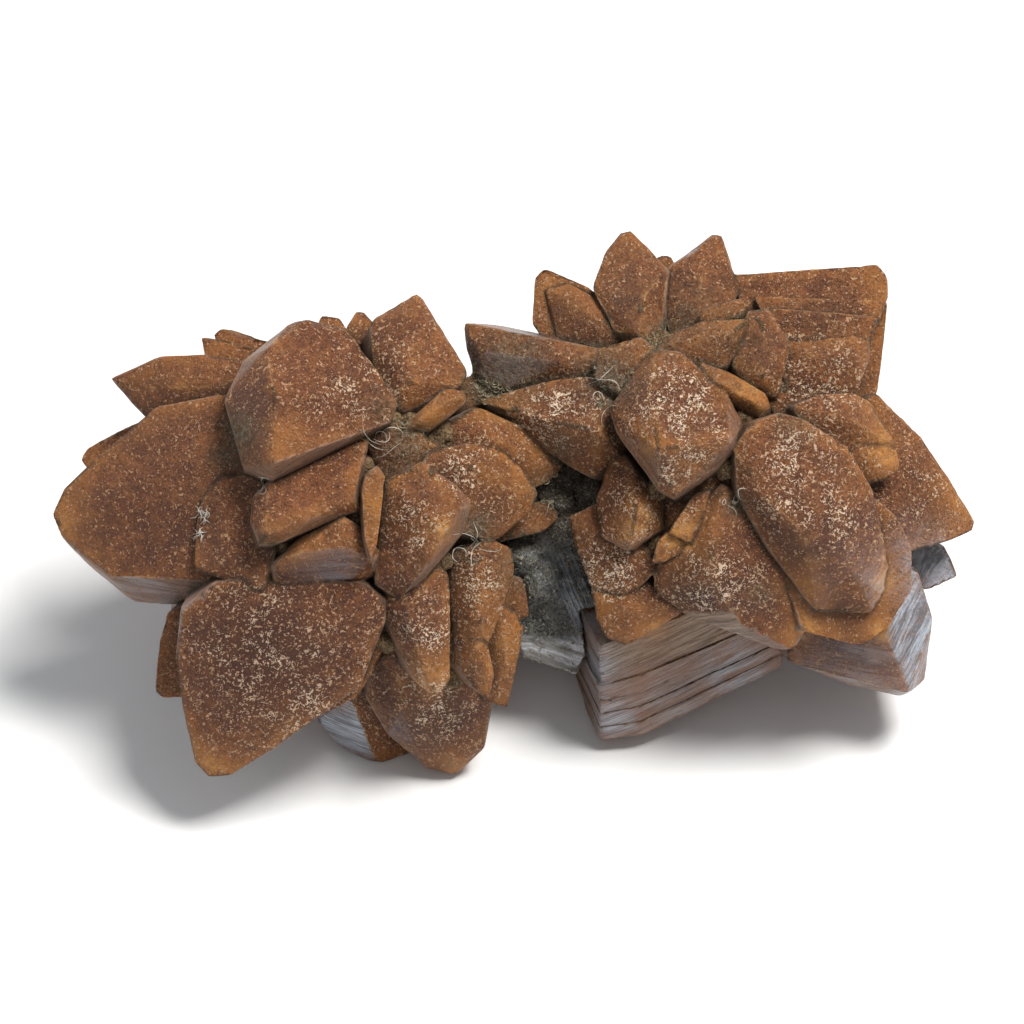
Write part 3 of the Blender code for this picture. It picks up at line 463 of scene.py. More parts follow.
def thickness(facets, points, normals):
    """How thick the crystal is behind each point, in millimetres, up to DEEPEST."""
    slants = ((0.0, 0.0, 1.0), (0.8, 0.0, 0.6), (-0.8, 0.0, 0.6), (0.0, 0.8, 0.6), (0.0, -0.8, 0.6))
    depth = np.full(len(points), DEEPEST)
    for index, (point, normal) in enumerate(zip(points, normals)):
        inward = -Vector(normal)
        turn = inward.to_track_quat("Z", "X").to_matrix()
        start = Vector(point) + inward * 0.5
        through = []
        for slant in slants:
            _, _, _, far = facets.tree.ray_cast(start, turn @ Vector(slant), DEEPEST)
            through.append(DEEPEST if far is None else far)
        through.sort()
        depth[index] = (through[0] + through[1]) / 2.0
    return depth


def patches(place, table):
    """The strength of the strongest patch of a table at each place on the plate, from 0 to 1."""
    strength = np.zeros(len(place))
    for across, up, radius, most in table:
        far = np.hypot(place[:, 0] - across, place[:, 1] - up) / radius
        strength = np.maximum(strength, most * np.exp(-far * far))
    return strength


def silvered(place, facing):
    """How much silvery film and painted sheen lies on each place, given which way its face looks.
    """
    strength = np.zeros(len(place))
    for across, up, radius, most, looks in SILVER_FACES:
        far = np.hypot(place[:, 0] - across, place[:, 1] - up) / radius
        same = ramp(facing @ np.array(looks), *SAME_WAY)
        strength = np.maximum(strength, most * np.exp(-far * far) * same)
    return strength


def halved(faces, middles):
    """The triangles cut at the middles of their sides; -1 stands for a side that isn't cut."""
    cut = middles >= 0
    count = cut.sum(axis=1)
    # Each triangle is turned so that its one cut side comes first, or its one whole side last.
    past_whole = np.where(count == 2, (~cut).argmax(axis=1) + 1, 0)
    turn = np.where(count == 1, cut.argmax(axis=1), past_whole)
    order = (turn[:, None] + np.arange(3)) % 3
    a, b, c = np.take_along_axis(faces, order, axis=1).T
    ab, bc, ca = np.take_along_axis(middles, order, axis=1).T
    patterns = {
        0: ((a, b, c),),
        1: ((a, ab, c), (ab, b, c)),
        2: ((ab, b, bc), (a, ab, bc), (a, bc, c)),
        3: ((a, ab, ca), (ab, b, bc), (ca, bc, c), (ab, bc, ca)),
    }
    parts = []
    for cuts, made in patterns.items():
        parts += [np.stack(part, axis=1)[count == cuts] for part in made]
    return np.concatenate(parts)


def refine(piece):
    """Halves every edge longer than LONGEST_EDGE until none is. Creases between crystals stay."""
    model = bmesh.new()
    model.from_mesh(piece.data)
    bmesh.ops.triangulate(model, faces=model.faces[:])
    model.normal_update()
    model.verts.index_update()
    points = np.array([vertex.co for vertex in model.verts]) / MM
    faces = np.array([[vertex.index for vertex in face.verts] for face in model.faces])
    creases = set()
    for edge in model.edges:
        if len(edge.link_faces) == 2 and edge.calc_face_angle_signed(0.0) < -HOLLOW_CORNER:
            creases.add(tuple(sorted(vertex.index for vertex in edge.verts)))
    model.free()
    while True:
        sides = np.sort(faces[:, [0, 1, 1, 2, 2, 0]].reshape(-1, 2), axis=1)
        edges, place = np.unique(sides, axis=0, return_inverse=True)
        long = np.linalg.norm(points[edges[:, 0]] - points[edges[:, 1]], axis=1) > LONGEST_EDGE
        if not long.any():
            break
        middles = np.full(len(edges), -1)
        middles[long] = len(points) + np.arange(long.sum())
        points = np.concatenate([points, points[edges[long]].mean(axis=1)])
        for (first, last), middle in zip(edges[long].tolist(), middles[long].tolist()):
            if (first, last) in creases:
                creases.remove((first, last))
                creases.update(((first, middle), (last, middle)))
        faces = halved(faces, middles[place.reshape(-1, 3)])
    piece.data.clear_geometry()
    piece.data.from_pydata((points * MM).tolist(), [], faces.tolist())
    sharp = [tuple(sorted(edge.vertices)) in creases for edge in piece.data.edges]
    piece.data.edges.foreach_set("use_edge_sharp", sharp)


def weather(piece, facets):
    """Moves the fine points: uneven faces, stepped rims, striated flanks and chipped corners."""
    points, normals = points_of(piece)
    near = facets.nearest(points)
    rim = facets.distance(facets.rims, points)
    flank = facets.flanks()[near]
    layer, block = facets.layers(points, near)
    move = sum(depth * ripple(points, size, seed) for depth, size, seed in UNEVEN)
    # Terraces: an irregular strip inside some rims stands a little lower than the face.
    inset = 0.4 + 1.4 * ripple(points, 4.0, 4) + 0.25 * ripple(points, 1.2, 5)
    move -= TERRACE_DEPTH * (1.0 - flank) * ramp(rim, inset + 0.2, inset - 0.2)
    # Striations: ridges that follow the plates across each flank, deepest on the striated block.
    along = points * 0.07
    lines = np.stack([layer * 0.9, along[:, 0] + along[:, 1], along[:, 2]], axis=1)
    ridged = 0.5 - np.abs(ripple(lines, 1.0, 6)) + 0.6 * ripple(lines * 2.3, 1.0, 7)
    move += (RIDGE_DEPTH * flank + BLOCK_RIDGE_DEPTH * block) * ridged
    # Chips: a few shallow bites out of the corners that stand out.
    bite = ramp(ripple(points, 2.0, 8), 0.22, 0.5)
    move -= CHIP_DEPTH * bite * ramp(rim, 0.8, 0.1)
    put_points(piece, points + normals * move[:, None])


def store(piece, **columns):
    """Stores numbers for the finish to read: one for each point under each name."""
    for name, numbers in columns.items():
        attribute = piece.data.attributes.new(name, "FLOAT", "POINT")
        attribute.data.foreach_set("value", np.asarray(numbers, np.float32))


def describe(piece, facets):
    """Stores what the finish needs to know about each point, and returns how dirty each is."""
    points, normals = points_of(piece)
    near = facets.nearest(points)
    place = to_plate(points)
    front = ramp(place[:, 2], *FRONT)
    layer, block = facets.layers(points, near)
    enclosed = shelter(facets, points, normals)
    crust = patches(place, CLAY_CRUST) * front
    across, up, slope = LEDGE_LINE
    over = place[:, 1] - up - slope * (place[:, 0] - across) + 0.5 * ripple(points, 1.6, 14)
    facing = facets.normals[near] @ np.stack([ACROSS, UP, OUT], axis=1)
    behind = 0.6 * (1.0 - front) * ramp(ripple(points, 9.0, 9), 0.0, 0.4)
    crowding = patches(place, FLECKED) * 0.66 - patches(place, SMOOTH) * 0.26
    store(
        piece,
        rim=facets.distance(facets.rims, points),
        seam=facets.distance(facets.seams, points),
        flank=facets.flanks()[near],
        tone=facets.tones()[near],
        layer=layer,
        block=block,
        ledge=block * ramp(over, -0.3, 0.3) * (place[:, 0] > across),
        # Painted shade: faces that look to the left are made darker.
        sector=ramp(facing[:, 0], -0.10, -0.50) * front,
        silver=silvered(place, facing) * front,
        shelter=enclosed,
        depth=thickness(facets, points, normals),
        amber=patches(place, AMBER) * front,
        dusky=patches(place, DUSKY) * front,
        flecked=0.25 + front * crowding,
        pale=patches(place, PALE) * front + behind,
        crust=crust,
    )
    return ramp(crust, 0.45, 0.8) * ramp(enclosed, 0.25, 0.5)


def crystal_rosettes():
    """The crystals with their fine surface, and how much clay sticks to each of their points."""
    piece = copy_of("crystal_cluster", "crystal_rosettes")
    facets = Facets(piece)
    refine(piece)
    apply_modifier(piece, "SMOOTH", factor=0.5, iterations=3)
    weather(piece, facets)
    apply_modifier(piece, "DECIMATE", ratio=MOST_TRIANGLES / len(piece.data.polygons))
    put_points(piece, points_of(piece)[0])
    dirt = describe(piece, facets)
    piece.data.shade_smooth()
    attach(piece, "root")
    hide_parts("crystal_cluster")
    return piece, facets, dirt


def packed_dirt():
    """The dirt that fills the deepest hollows between the crystals."""
    lumps = [(across, up, top - DIRT_SUNK, radius) for across, up, top, radius in FILLED_HOLLOWS]
    piece = round_lumps(lumps)
    piece.name = "packed_dirt"
    apply_modifier(piece, "REMESH", mode="VOXEL", voxel_size=VOXEL * MM)
    points, normals = points_of(piece)
    move = 0.34 * ripple(points, 1.6, 15) + 0.20 * ripple(points, 0.6, 16, 2)
    put_points(piece, points + normals * move[:, None])
    piece.data.shade_smooth()
    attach(piece, "root")
    return piece


def clay_body():
    """The clay lodged between the rosettes, lumpy all over."""
    lumps = round_lumps(CLAY_LUMPS)
    piece = copy_of("clay_matrix", "clay_body")
    lumps.select_set(True)
    bpy.ops.object.join()
    apply_modifier(piece, "REMESH", mode="VOXEL", voxel_size=VOXEL * MM)
    points, normals = points_of(piece)
    move = 0.35 * ripple(points, 3.0, 11) + 0.16 * ripple(points, 1.0, 12, 2)
    put_points(piece, points + normals * move[:, None])
    place = to_plate(points)
    across, up, radius, slope = CLAY_STREAKS
    rise = place[:, 1] - up
    off = np.hypot(place[:, 0] - across - slope * rise, rise * 0.4) / radius
    foot = place[:, 1] + 0.8 * ripple(points, 2.5, 13)
    store(
        piece,
        warm=ramp(place[:, 1] + 0.8 * ripple(points, 2.0, 17), -5.5, -2.0),
        streaked=np.exp(-off * off),
        grain=place[:, 0] - slope * place[:, 1],
        foot=ramp(foot, CLAY_FOOT, CLAY_FOOT - FOOT_BLEND),
    )
    piece.data.shade_smooth()
    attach(piece, "root")
    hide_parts("clay_matrix")
    return piece


def crumb_shape():
    """The points and faces of one angular crumb of unit radius."""
    bpy.ops.object.select_all(action="DESELECT")
    bpy.ops.mesh.primitive_ico_sphere_add(subdivisions=1, radius=1.0)
    crumb = bpy.context.object
    points = np.array([vertex.co for vertex in crumb.data.vertices])
    faces = np.array([face.vertices[:] for face in crumb.data.polygons])
    bpy.data.objects.remove(crumb, do_unlink=True)
    return points, faces


def turns(chance, count):
    """Random rotation matrices, one for each crumb."""
    quarters = chance.normal(size=(count, 4))
    w, x, y, z = (quarters / np.linalg.norm(quarters, axis=1, keepdims=True)).T
    rows = [
        [1 - 2 * (y * y + z * z), 2 * (x * y - w * z), 2 * (x * z + w * y)],
        [2 * (x * y + w * z), 1 - 2 * (x * x + z * z), 2 * (y * z - w * x)],
        [2 * (x * z - w * y), 2 * (y * z + w * x), 1 - 2 * (x * x + y * y)],
    ]
    return np.moveaxis(np.array(rows), 2, 0)


def crumbs(name, seats, smallest, largest, seed):
    """Crumbs of clay half sunk at the seats, joined in one piece."""
    chance = np.random.default_rng(seed)
    count = len(seats)
    shape, faces = crumb_shape()
    sizes = smallest * (largest / smallest) ** (chance.random(count) ** 2.0)
    stretch = chance.uniform(0.6, 1.25, (count, 1, 3))
    dents = chance.uniform(0.75, 1.2, (count, len(shape), 1))
    turned = np.einsum("nij,nkj->nki", turns(chance, count), shape * dents * stretch)
    points = seats[:, None, :] + turned * sizes[:, None, None]
    offsets = np.arange(count)[:, None, None] * len(shape)
    piece = new_piece(name, points, (faces + offsets).reshape(-1, 3).tolist())
    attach(piece, "root")
    return piece


def dirty_seats(points, dirt, count, chance, clump):
    """Indices of points to put dirt on, in clumps of about the given size."""
    clumped = dirt * ramp(ripple(points, clump, 21, 2), -0.15, 0.3)
    return chance.choice(len(points), count, p=clumped / clumped.sum())


def clay_crumbs(rosettes, dirt, clay):
    """Crumbs over the clay and over the dirty points of the crystals."""
    chance = np.random.default_rng(3)
    points, _ = points_of(rosettes)
    stuck = dirty_seats(points, dirt, CRYSTAL_CRUMBS, chance, 0.9)
    points_on_clay, _ = points_of(clay)
    loose = chance.choice(len(points_on_clay), CLAY_CRUMBS)
    seats = np.concatenate([points[stuck], points_on_clay[loose]])
    seats += chance.normal(0.0, 0.06, seats.shape)
    return crumbs("clay_crumbs", seats, smallest=0.04, largest=0.18, seed=4)


def tubes(name, paths, radii):
    """Thin tubes along paths that all have as many points, joined in one piece."""
    count, steps, _ = paths.shape
    ahead = np.gradient(paths, axis=1)
    ahead /= np.linalg.norm(ahead, axis=2, keepdims=True)
    askew = np.array([0.31, 0.45, 0.84])
    side = np.cross(ahead, askew)
    side /= np.linalg.norm(side, axis=2, keepdims=True)
    lift = np.cross(ahead, side)
    taper = np.sin(np.linspace(TUBE_TAPER, math.pi - TUBE_TAPER, steps))[None, :, None, None]
    turn = 2.0 * math.pi * np.arange(TUBE_SIDES) / TUBE_SIDES
    ring = side[:, :, None] * np.cos(turn)[:, None] + lift[:, :, None] * np.sin(turn)[:, None]
    points = paths[:, :, None] + ring * radii[:, None, None, None] * taper
    faces = []
    for tube in range(count):
        base = tube * steps * TUBE_SIDES
        for step in range(steps - 1):
            low = base + step * TUBE_SIDES
            high = low + TUBE_SIDES
            for corner in range(TUBE_SIDES):
                after = (corner + 1) % TUBE_SIDES
                faces.append((low + corner, low + after, high + after, high + corner))
        last = base + (steps - 1) * TUBE_SIDES
        faces.append(tuple(base + corner for corner in reversed(range(TUBE_SIDES))))
        faces.append(tuple(last + corner for corner in range(TUBE_SIDES)))
    piece = new_piece(name, points, faces)
    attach(piece, "root")
    return piece


def dust_curls(rosettes, dirt, clay):
    """Short curled fibres in the dust of the crevices and on the clay."""
    chance = np.random.default_rng(5)
    points, normals = points_of(rosettes)
    stuck = dirty_seats(points, dirt, CRYSTAL_CURLS, chance, 1.4)
    points_on_clay, normals_on_clay = points_of(clay)
    loose = chance.choice(len(points_on_clay), CLAY_CURLS)
    seats = np.concatenate([points[stuck], points_on_clay[loose]])
    upward = np.concatenate([normals[stuck], normals_on_clay[loose]])
    count = len(seats)
    first = np.cross(upward, chance.normal(size=(count, 3)))
    first /= np.linalg.norm(first, axis=1, keepdims=True)
    second = np.cross(upward, first) + 0.5 * upward * chance.normal(size=(count, 1))
    bend = chance.uniform(0.12, 0.45, (count, 1, 1))
    sweep = chance.uniform(1.2, 3.6, (count, 1)) * np.linspace(0.0, 1.0, CURL_STEPS + 1)
    arcs = first[:, None] * np.cos(sweep)[:, :, None] + second[:, None] * np.sin(sweep)[:, :, None]
    paths = seats[:, None] + upward[:, None] * 0.05 + arcs * bend
    return tubes("dust_curls", paths, chance.uniform(0.03, 0.05, count))


def lint_tufts(facets):
    """Loose strands of pale lint that lie over the crystals' edges."""
    chance = np.random.default_rng(6)
    hump = np.sin(np.linspace(0.0, math.pi, LINT_STEPS))
    paths = []
    for across, up, radius, strands in LINT:
        for _ in range(strands):
            heading = chance.uniform(0.0, 2.0 * math.pi)
            curve = chance.uniform(-0.35, 0.35)
            seat = np.array([across, up]) + chance.normal(0.0, 0.5 * radius, 2)
            headings = heading + np.cumsum(curve + chance.normal(0.0, 0.25, LINT_STEPS))
            strides = np.stack([np.cos(headings), np.sin(headings)], axis=1)
            trail = strides.cumsum(axis=0) * radius * LINT_STRIDE
            trail += seat - trail.mean(axis=0)
            path = []
            for x, y in trail:
                start = Vector(to_world(x, y, LINT_DROP))
                hit, _, _, _ = facets.tree.ray_cast(start, -Vector(OUT), 2.0 * LINT_DROP)
                path.append(np.array(to_world(x, y, 0.0) if hit is None else hit))
            path = np.array(path)
            for _ in range(3):
                path[1:-1] = (path[:-2] + path[1:-1] * 2.0 + path[2:]) / 4.0
            lift = 0.02 + (0.1 + 0.3 * abs(chance.normal())) * hump
            paths.append(path + OUT * lift[:, None])
    return tubes("lint", np.array(paths), chance.uniform(0.024, 0.045, len(paths)))


# ---- finishes


def shade(red, green, blue):
    """A colour from its 0 to 255 screen values."""
    linear = []
    for part in (red, green, blue):
        part = part / 255.0
        linear.append(part / 12.92 if part <= 0.04045 else ((part + 0.055) / 1.055) ** 2.4)
    return (*linear, 1.0)


class Value:
    """A number that varies over a surface: arithmetic on it adds Math nodes."""

    def __init__(self, finish, socket):
        self.finish = finish
        self.socket = socket

    def __add__(self, other):
        return self.finish.math("ADD", self, other)

    __radd__ = __add__

    def __sub__(self, other):
        return self.finish.math("SUBTRACT", self, other)

    def __rsub__(self, other):
        return self.finish.math("SUBTRACT", other, self)

    def __mul__(self, other):
        return self.finish.math("MULTIPLY", self, other)

    __rmul__ = __mul__

    def __abs__(self):
        return self.finish.math("ABSOLUTE", self)

    def most(self, other):
        """The larger of two numbers."""
        return self.finish.math("MAXIMUM", self, other)

    def between(self, low, high):
        """0 at low, 1 at high, smooth between them; low may be above high."""
        if low > high:
            return 1.0 - self.between(high, low)
        sockets = {"Value": self, "From Min": low, "From Max": high}
        found = self.finish.node("MapRange", {"interpolation_type": "SMOOTHSTEP"}, sockets)
        return Value(self.finish, found.outputs["Result"])


class Finish:
    """A material, and the one way that nodes are added to it."""

    def __init__(self, name, constants):
        self.material = bpy.data.materials.new(name)
        self.material.use_nodes = True
        self.tree = self.material.node_tree
        self.surface = self.tree.nodes["Principled BSDF"]
        for socket, value in constants.items():
            self.surface.inputs[socket].default_value = value
        place = self.node("TexCoord", {}, {}).outputs["Object"]
        scaled = self.node("VectorMath", {"operation": "SCALE"}, {0: place, "Scale": 1.0 / MM})
        self.place = scaled.outputs["Vector"]

    def node(self, kind, settings, sockets):
        """Adds a node: its settings first, then the values and links of its sockets."""
        made = self.tree.nodes.new("ShaderNode" + kind)
        for name, value in settings.items():
            setattr(made, name, value)
        for key, value in sockets.items():
            self.put(made.inputs[key], value)
        return made

    def put(self, socket, value):
        """Links or sets one socket."""
        if isinstance(value, Value):
            value = value.socket
        if isinstance(value, bpy.types.NodeSocket):
            self.tree.links.new(value, socket)
        else:
            socket.default_value = value

    def math(self, operation, *values):
        """The outcome of a Math node."""
        made = self.node("Math", {"operation": operation}, dict(enumerate(values)))
        return Value(self, made.outputs[0])

    def stored(self, name):
        """A number stored on the piece's points."""
        return Value(self, self.node("Attribute", {"attribute_name": name}, {}).outputs["Fac"])

    def grain(self, per_mm, detail=2.0, rough=0.5, where=None, twist=0.0):
        """Noise about 0.5, with this many bumps to the millimetre."""
        sockets = {
            "Vector": where or self.place,
            "Scale": per_mm,
            "Detail": detail,
            "Roughness": rough,
            "Distortion": twist,
        }
        return Value(self, self.node("TexNoise", {}, sockets).outputs["Fac"])

    def threads(self, per_mm, twist, faint, clear):
        """1 along thin winding threads, where the noise crosses its middle."""
        return abs(self.grain(per_mm, 0.0, twist=twist) - 0.5).between(faint, clear)

    def cells(self, per_mm):
        """How far each place is from the middle of its cell, and a number for the cell."""
        made = self.node("TexVoronoi", {}, {"Vector": self.place, "Scale": per_mm})
        number = self.node("SeparateColor", {}, {0: made.outputs["Color"]})
        return Value(self, made.outputs["Distance"]), Value(self, number.outputs[0])

    def mix(self, share, *colours):
        """A colour between two, each the outcome of another mix or 0 to 255 screen values."""
        first, second = (shade(*part) if isinstance(part, tuple) else part for part in colours)
        sockets = {MIX_SHARE: share, MIX_FIRST: first, MIX_SECOND: second}
        return self.node("Mix", {"data_type": "RGBA"}, sockets).outputs[MIX_RESULT]

    def vector(self, x, y, z):
        """A vector from three numbers."""
        return self.node("CombineXYZ", {}, {0: x, 1: y, 2: z}).outputs[0]

    def axes(self):
        """The place's x, y and z."""
        made = self.node("SeparateXYZ", {}, {0: self.place})
        return [Value(self, socket) for socket in made.outputs]

    def done(self, colour, rough, relief=None, depth=1.0):
        """The material, given its colour, roughness and relief, where 1 is depth millimetres."""
        self.put(self.surface.inputs["Base Color"], colour)
        self.put(self.surface.inputs["Roughness"], rough)
        if relief is not None:
            sockets = {"Height": relief, "Distance": depth * MM, "Strength": 1.0}
            bent = self.node("Bump", {}, sockets).outputs["Normal"]
            self.put(self.surface.inputs["Normal"], bent)
        return self.material


def calcite_finish():
    """Waxy brown calcite: flecks, striations, silvery film, dust, and painted glow, sheen and
    shade.
    """
    constants = {
        "IOR": 1.5,
        "Specular IOR Level": 0.33,
        "Subsurface Weight": 0.14,
        "Subsurface Radius": (1.0, 0.42, 0.16),
        "Subsurface Scale": 0.9 * MM,
        "Coat Roughness": 0.22,
    }
    wax = Finish("waxy_calcite", constants)
    rim, seam, flank, tone, layer = map(wax.stored, ("rim", "seam", "flank", "tone", "layer"))
    block, sheltered, depth, crust = map(wax.stored, ("block", "shelter", "depth", "crust"))

    # The body colour: red-brown, darker where the crystal is thick, with lighter mottling.
    clouds = wax.grain(0.18, 3.0, 0.55, twist=0.4)
    mottle = wax.grain(1.1, 4.0, 0.62)
    blotch = wax.grain(0.5, 3.0, 0.6, twist=0.5)
    speckle = wax.grain(4.4, 3.0, 0.65)
    brown = wax.mix(clouds.between(0.35, 0.65), (109, 61, 33), (139, 83, 46))
    brown = wax.mix(tone * 0.28 + depth.between(3.0, 10.0) * 0.20, brown, (86, 48, 31))
    brown = wax.mix(blotch.between(0.54, 0.40) * 0.40, brown, (101, 58, 38))
    brown = wax.mix(blotch.between(0.50, 0.62) * 0.35, brown, (161, 101, 56))
    # Painted shade: faces that look to the left get a darker mauve-brown.
    brown = wax.mix(wax.stored("sector") * 0.40, brown, (82, 50, 40))
    brown = wax.mix(mottle.between(0.44, 0.70) * 0.45, brown, (168, 108, 60))
    brown = wax.mix(wax.stored("dusky") * 0.80, brown, (76, 41, 28))
    brown = wax.mix(speckle.between(0.50, 0.38) * 0.62, brown, (48, 27, 18))

    # Amber: a painted glow of light where the crystal is thin and along some rims, and in the
    # patches.
    thin = depth.between(4.0, 0.8)
    edge = rim.between(1.6, 0.1) * clouds.between(0.40, 0.60)
    amber = wax.stored("amber")
    glow = thin * 0.20 + edge * 0.26 + amber * (0.55 + thin * 0.35)
    glow = wax.math("MINIMUM", glow * (0.40 + mottle * 0.7 + blotch * 0.5), 1.0)
    colour = wax.mix(glow, brown, (174, 114, 54))
    # Painted highlight: a pale hot spot of light in the strongest amber patches.
    painted_hot_spot = amber.between(0.55, 1.0) * blotch.between(0.42, 0.60) * 0.6
    colour = wax.mix(painted_hot_spot, colour, (226, 166, 92))
    # Painted highlight: a thin pale line along the rims that stand out.
    painted_rim_highlight = rim.between(0.28, 0.08) * mottle.between(0.46, 0.56)
    colour = wax.mix(painted_rim_highlight * 0.30, colour, (214, 168, 112))

    # Flanks: fine striations along the growth plates; where pale, a silvery film and painted sheen.
    x, y, z = wax.axes()
    drift = x * 0.09
    rise = (y + z) * 0.09
    coarse = wax.grain(1.0, 3.0, 0.6, where=wax.vector(layer * 1.6, drift, rise))
    fine = wax.grain(1.0, 4.0, 0.7, where=wax.vector(layer * 7.0, drift * 3.0, rise * 3.0))
    lines = coarse * 0.35 + fine * 0.65
    streaks = lines.between(0.40, 0.60)
    film_and_sheen_grain = wax.grain(1.0, 3.0, 0.6, where=wax.vector(layer * 0.5, drift * 1.4, rise * 1.4))
    pale = wax.stored("pale")
    film_and_sheen = pale * film_and_sheen_grain.between(0.30, 0.54) * flank.most(block)
    film_and_sheen = film_and_sheen.most(wax.stored("silver") * (0.55 + film_and_sheen_grain.between(0.35, 0.60) * 0.45))
    stone = wax.mix(streaks, (126, 100, 86), (194, 167, 150))
    slab = wax.mix(lines.between(0.36, 0.66), (130, 102, 88), (172, 147, 133))
    slab = wax.mix(blotch.between(0.44, 0.60) * 0.45, slab, (142, 100, 74))
    stone = wax.mix(block, stone, slab)
    ledge = wax.mix(streaks, (112, 89, 72), (180, 156, 134))
    stone = wax.mix(wax.stored("ledge"), stone, ledge)
    # Painted reflection: the bluish-white silver partly stands for the pale surroundings' sheen on
    # flanks.
    silver = wax.mix(streaks, (120, 124, 132), (204, 213, 226))
    plated = wax.math("MINIMUM", flank * 0.55 + block * 0.90, 0.95) * (1.0 - amber * 0.6)
    colour = wax.mix(plated, colour, stone)
    colour = wax.mix(wax.math("MINIMUM", film_and_sheen * 1.1, 0.92), colour, silver)
    seam_glow = block * coarse.between(0.60, 0.70) * 0.5
    colour = wax.mix(seam_glow, colour, (168, 108, 56))

    # Cream flecks: short curved growth scales that crowd together in patches.
    crowd = wax.stored("flecked") * (0.48 + wax.grain(0.42, 3.0, 0.6).between(0.38, 0.60) * 0.62)
    worm = wax.threads(1.8, 1.2, 0.070, 0.050)
    broken = (wax.grain(2.5, 1.0) + crowd * 0.21).between(0.615, 0.640)
    hair = wax.threads(3.0, 0.9, 0.078, 0.050)
    parted = (wax.grain(3.2, 1.0, twist=0.3) + crowd * 0.21).between(0.65, 0.68)
    spot, number = wax.cells(2.0)
    dots = spot.between(0.28, 0.16) * (number + crowd * 0.22).between(0.92, 0.97)
    scales = (worm * broken).most(hair * parted).most(dots)
    flecks = scales * (1.0 - flank * 0.7) * (1.0 - block) * (1.0 - film_and_sheen)
    bare = (1.0 - block) * (1.0 - film_and_sheen)
    bloom = crowd.between(0.45, 1.0) * mottle.between(0.40, 0.60) * bare
    colour = wax.mix(bloom * 0.12, colour, (172, 126, 98))
    # Dark pits among the flecks, sunk a little in the relief too: their darkness is painted shade.
    sunk = wax.grain(3.6, 2.0, 0.6).between(0.44, 0.38) * (0.22 + crowd) * bare
    colour = wax.mix(sunk * 0.80, colour, (46, 24, 15))
    # Painted shade: the sheltered crevices are darkened.
    painted_crevice_shade = sheltered.between(0.16, 0.62) * (0.35 + mottle * 0.6)
    colour = wax.mix(painted_crevice_shade * 0.74, colour, (54, 33, 20))
    cream = wax.mix(crowd.between(0.15, 0.8), (192, 148, 110), (250, 226, 198))
    colour = wax.mix(flecks * 0.95, colour, cream)

    # Dust: an olive haze in the crevices, thick where clay stuck, with pale hairs in it.
    dusty = wax.grain(1.8, 4.0, 0.7)
    hollow = sheltered.between(0.34, 0.80)
    # Painted shadow: dark lines along the seams between crystals, broken up by the dust grain.
    painted_seam_shadow = seam.between(0.45, 0.05) * dusty.between(0.36, 0.52) * (1.0 - block)
    colour = wax.mix(painted_seam_shadow * 0.80, colour, (42, 25, 16))
    haze = hollow * 0.42 + seam.between(0.7, 0.0) * 0.12 + crust * (0.75 + hollow * 0.9)
    haze = haze * (0.45 + dusty * 0.9)
    haze = wax.math("MINIMUM", haze, 0.9)
    hairs = wax.threads(3.4, 1.4, 0.075, 0.03)
    grains = wax.grain(5.0, 3.0, 0.7).between(0.36, 0.62)
    earth = wax.mix(grains, (50, 38, 24), (104, 84, 56))
    dried = wax.mix(dusty.between(0.40, 0.58), (84, 78, 60), (142, 136, 114))
    earth = wax.mix(crust * 0.60, earth, dried)
    haired = hairs * (0.3 + crust * 0.7) * dusty.between(0.45, 0.6) * 0.85
    earth = wax.mix(haired, earth, (196, 188, 164))
    colour = wax.mix(haze, colour, earth)

    rough = 0.24 + mottle * 0.16 + haze * 0.42 + flecks * 0.04
    wax.put(wax.surface.inputs["Coat Weight"], film_and_sheen * 0.5)
    pits = wax.grain(2.4, 5.0, 0.68)
    grooves = lines * (flank * 0.14 + block * 0.14 + film_and_sheen * 0.10)
    relief = pits * 0.27 + flecks * 0.13 - sunk * 0.09 + grooves
    relief = relief + (dusty * 0.3 + hairs * 0.08) * haze
    return wax.done(colour, rough, relief)


def clay_finish():
    """Grey-green clay, warmer up top, with painted sheen in its side streaks and pale foot bands.
    """
    clay = Finish("grey_green_clay", {"IOR": 1.4})
    foot = clay.stored("foot")
    lumps = clay.grain(0.7, 5.0, 0.65)
    grit = clay.grain(3.4, 4.0, 0.72)
    hairs = clay.threads(2.6, 1.4, 0.06, 0.02)
    colour = clay.mix(lumps.between(0.35, 0.65), (70, 69, 64), (122, 119, 112))
    colour = clay.mix(grit.between(0.47, 0.38) * 0.85, colour, (24, 22, 19))
    warm = clay.mix(grit, (40, 32, 22), (110, 94, 70))
    colour = clay.mix(clay.stored("warm") * 0.75, colour, warm)
    light = hairs * grit.between(0.45, 0.6)
    colour = clay.mix(light * 0.8, colour, (190, 192, 190))
    # Painted sheen: pale bluish streaks that stand for a steep striated crystal flank.
    slanted = clay.vector(clay.stored("grain") * 3.4, lumps * 1.2, 0.0)
    streak = clay.grain(1.0, 4.0, 0.7, where=slanted)
    streak = streak.between(0.44, 0.56) * clay.stored("streaked")
    colour = clay.mix(streak, colour, (178, 184, 194))
    # Pale bands at the foot: partly striations, partly a painted reflection of the pale floor.
    x, _, z = clay.axes()
    layered = clay.vector(z * 1.4 + x * 0.5, x * 0.12, lumps)
    bands = clay.grain(1.0, 4.0, 0.6, where=layered)
    banded = clay.mix(bands.between(0.38, 0.62), (150, 146, 142), (246, 246, 250))
    colour = clay.mix(foot * 0.85, colour, banded)
    relief = grit * 0.22 + lumps * 0.35 + hairs * 0.05 + bands * foot * 0.3
    return clay.done(colour, 0.70 + grit * 0.2 - foot * 0.2, relief)


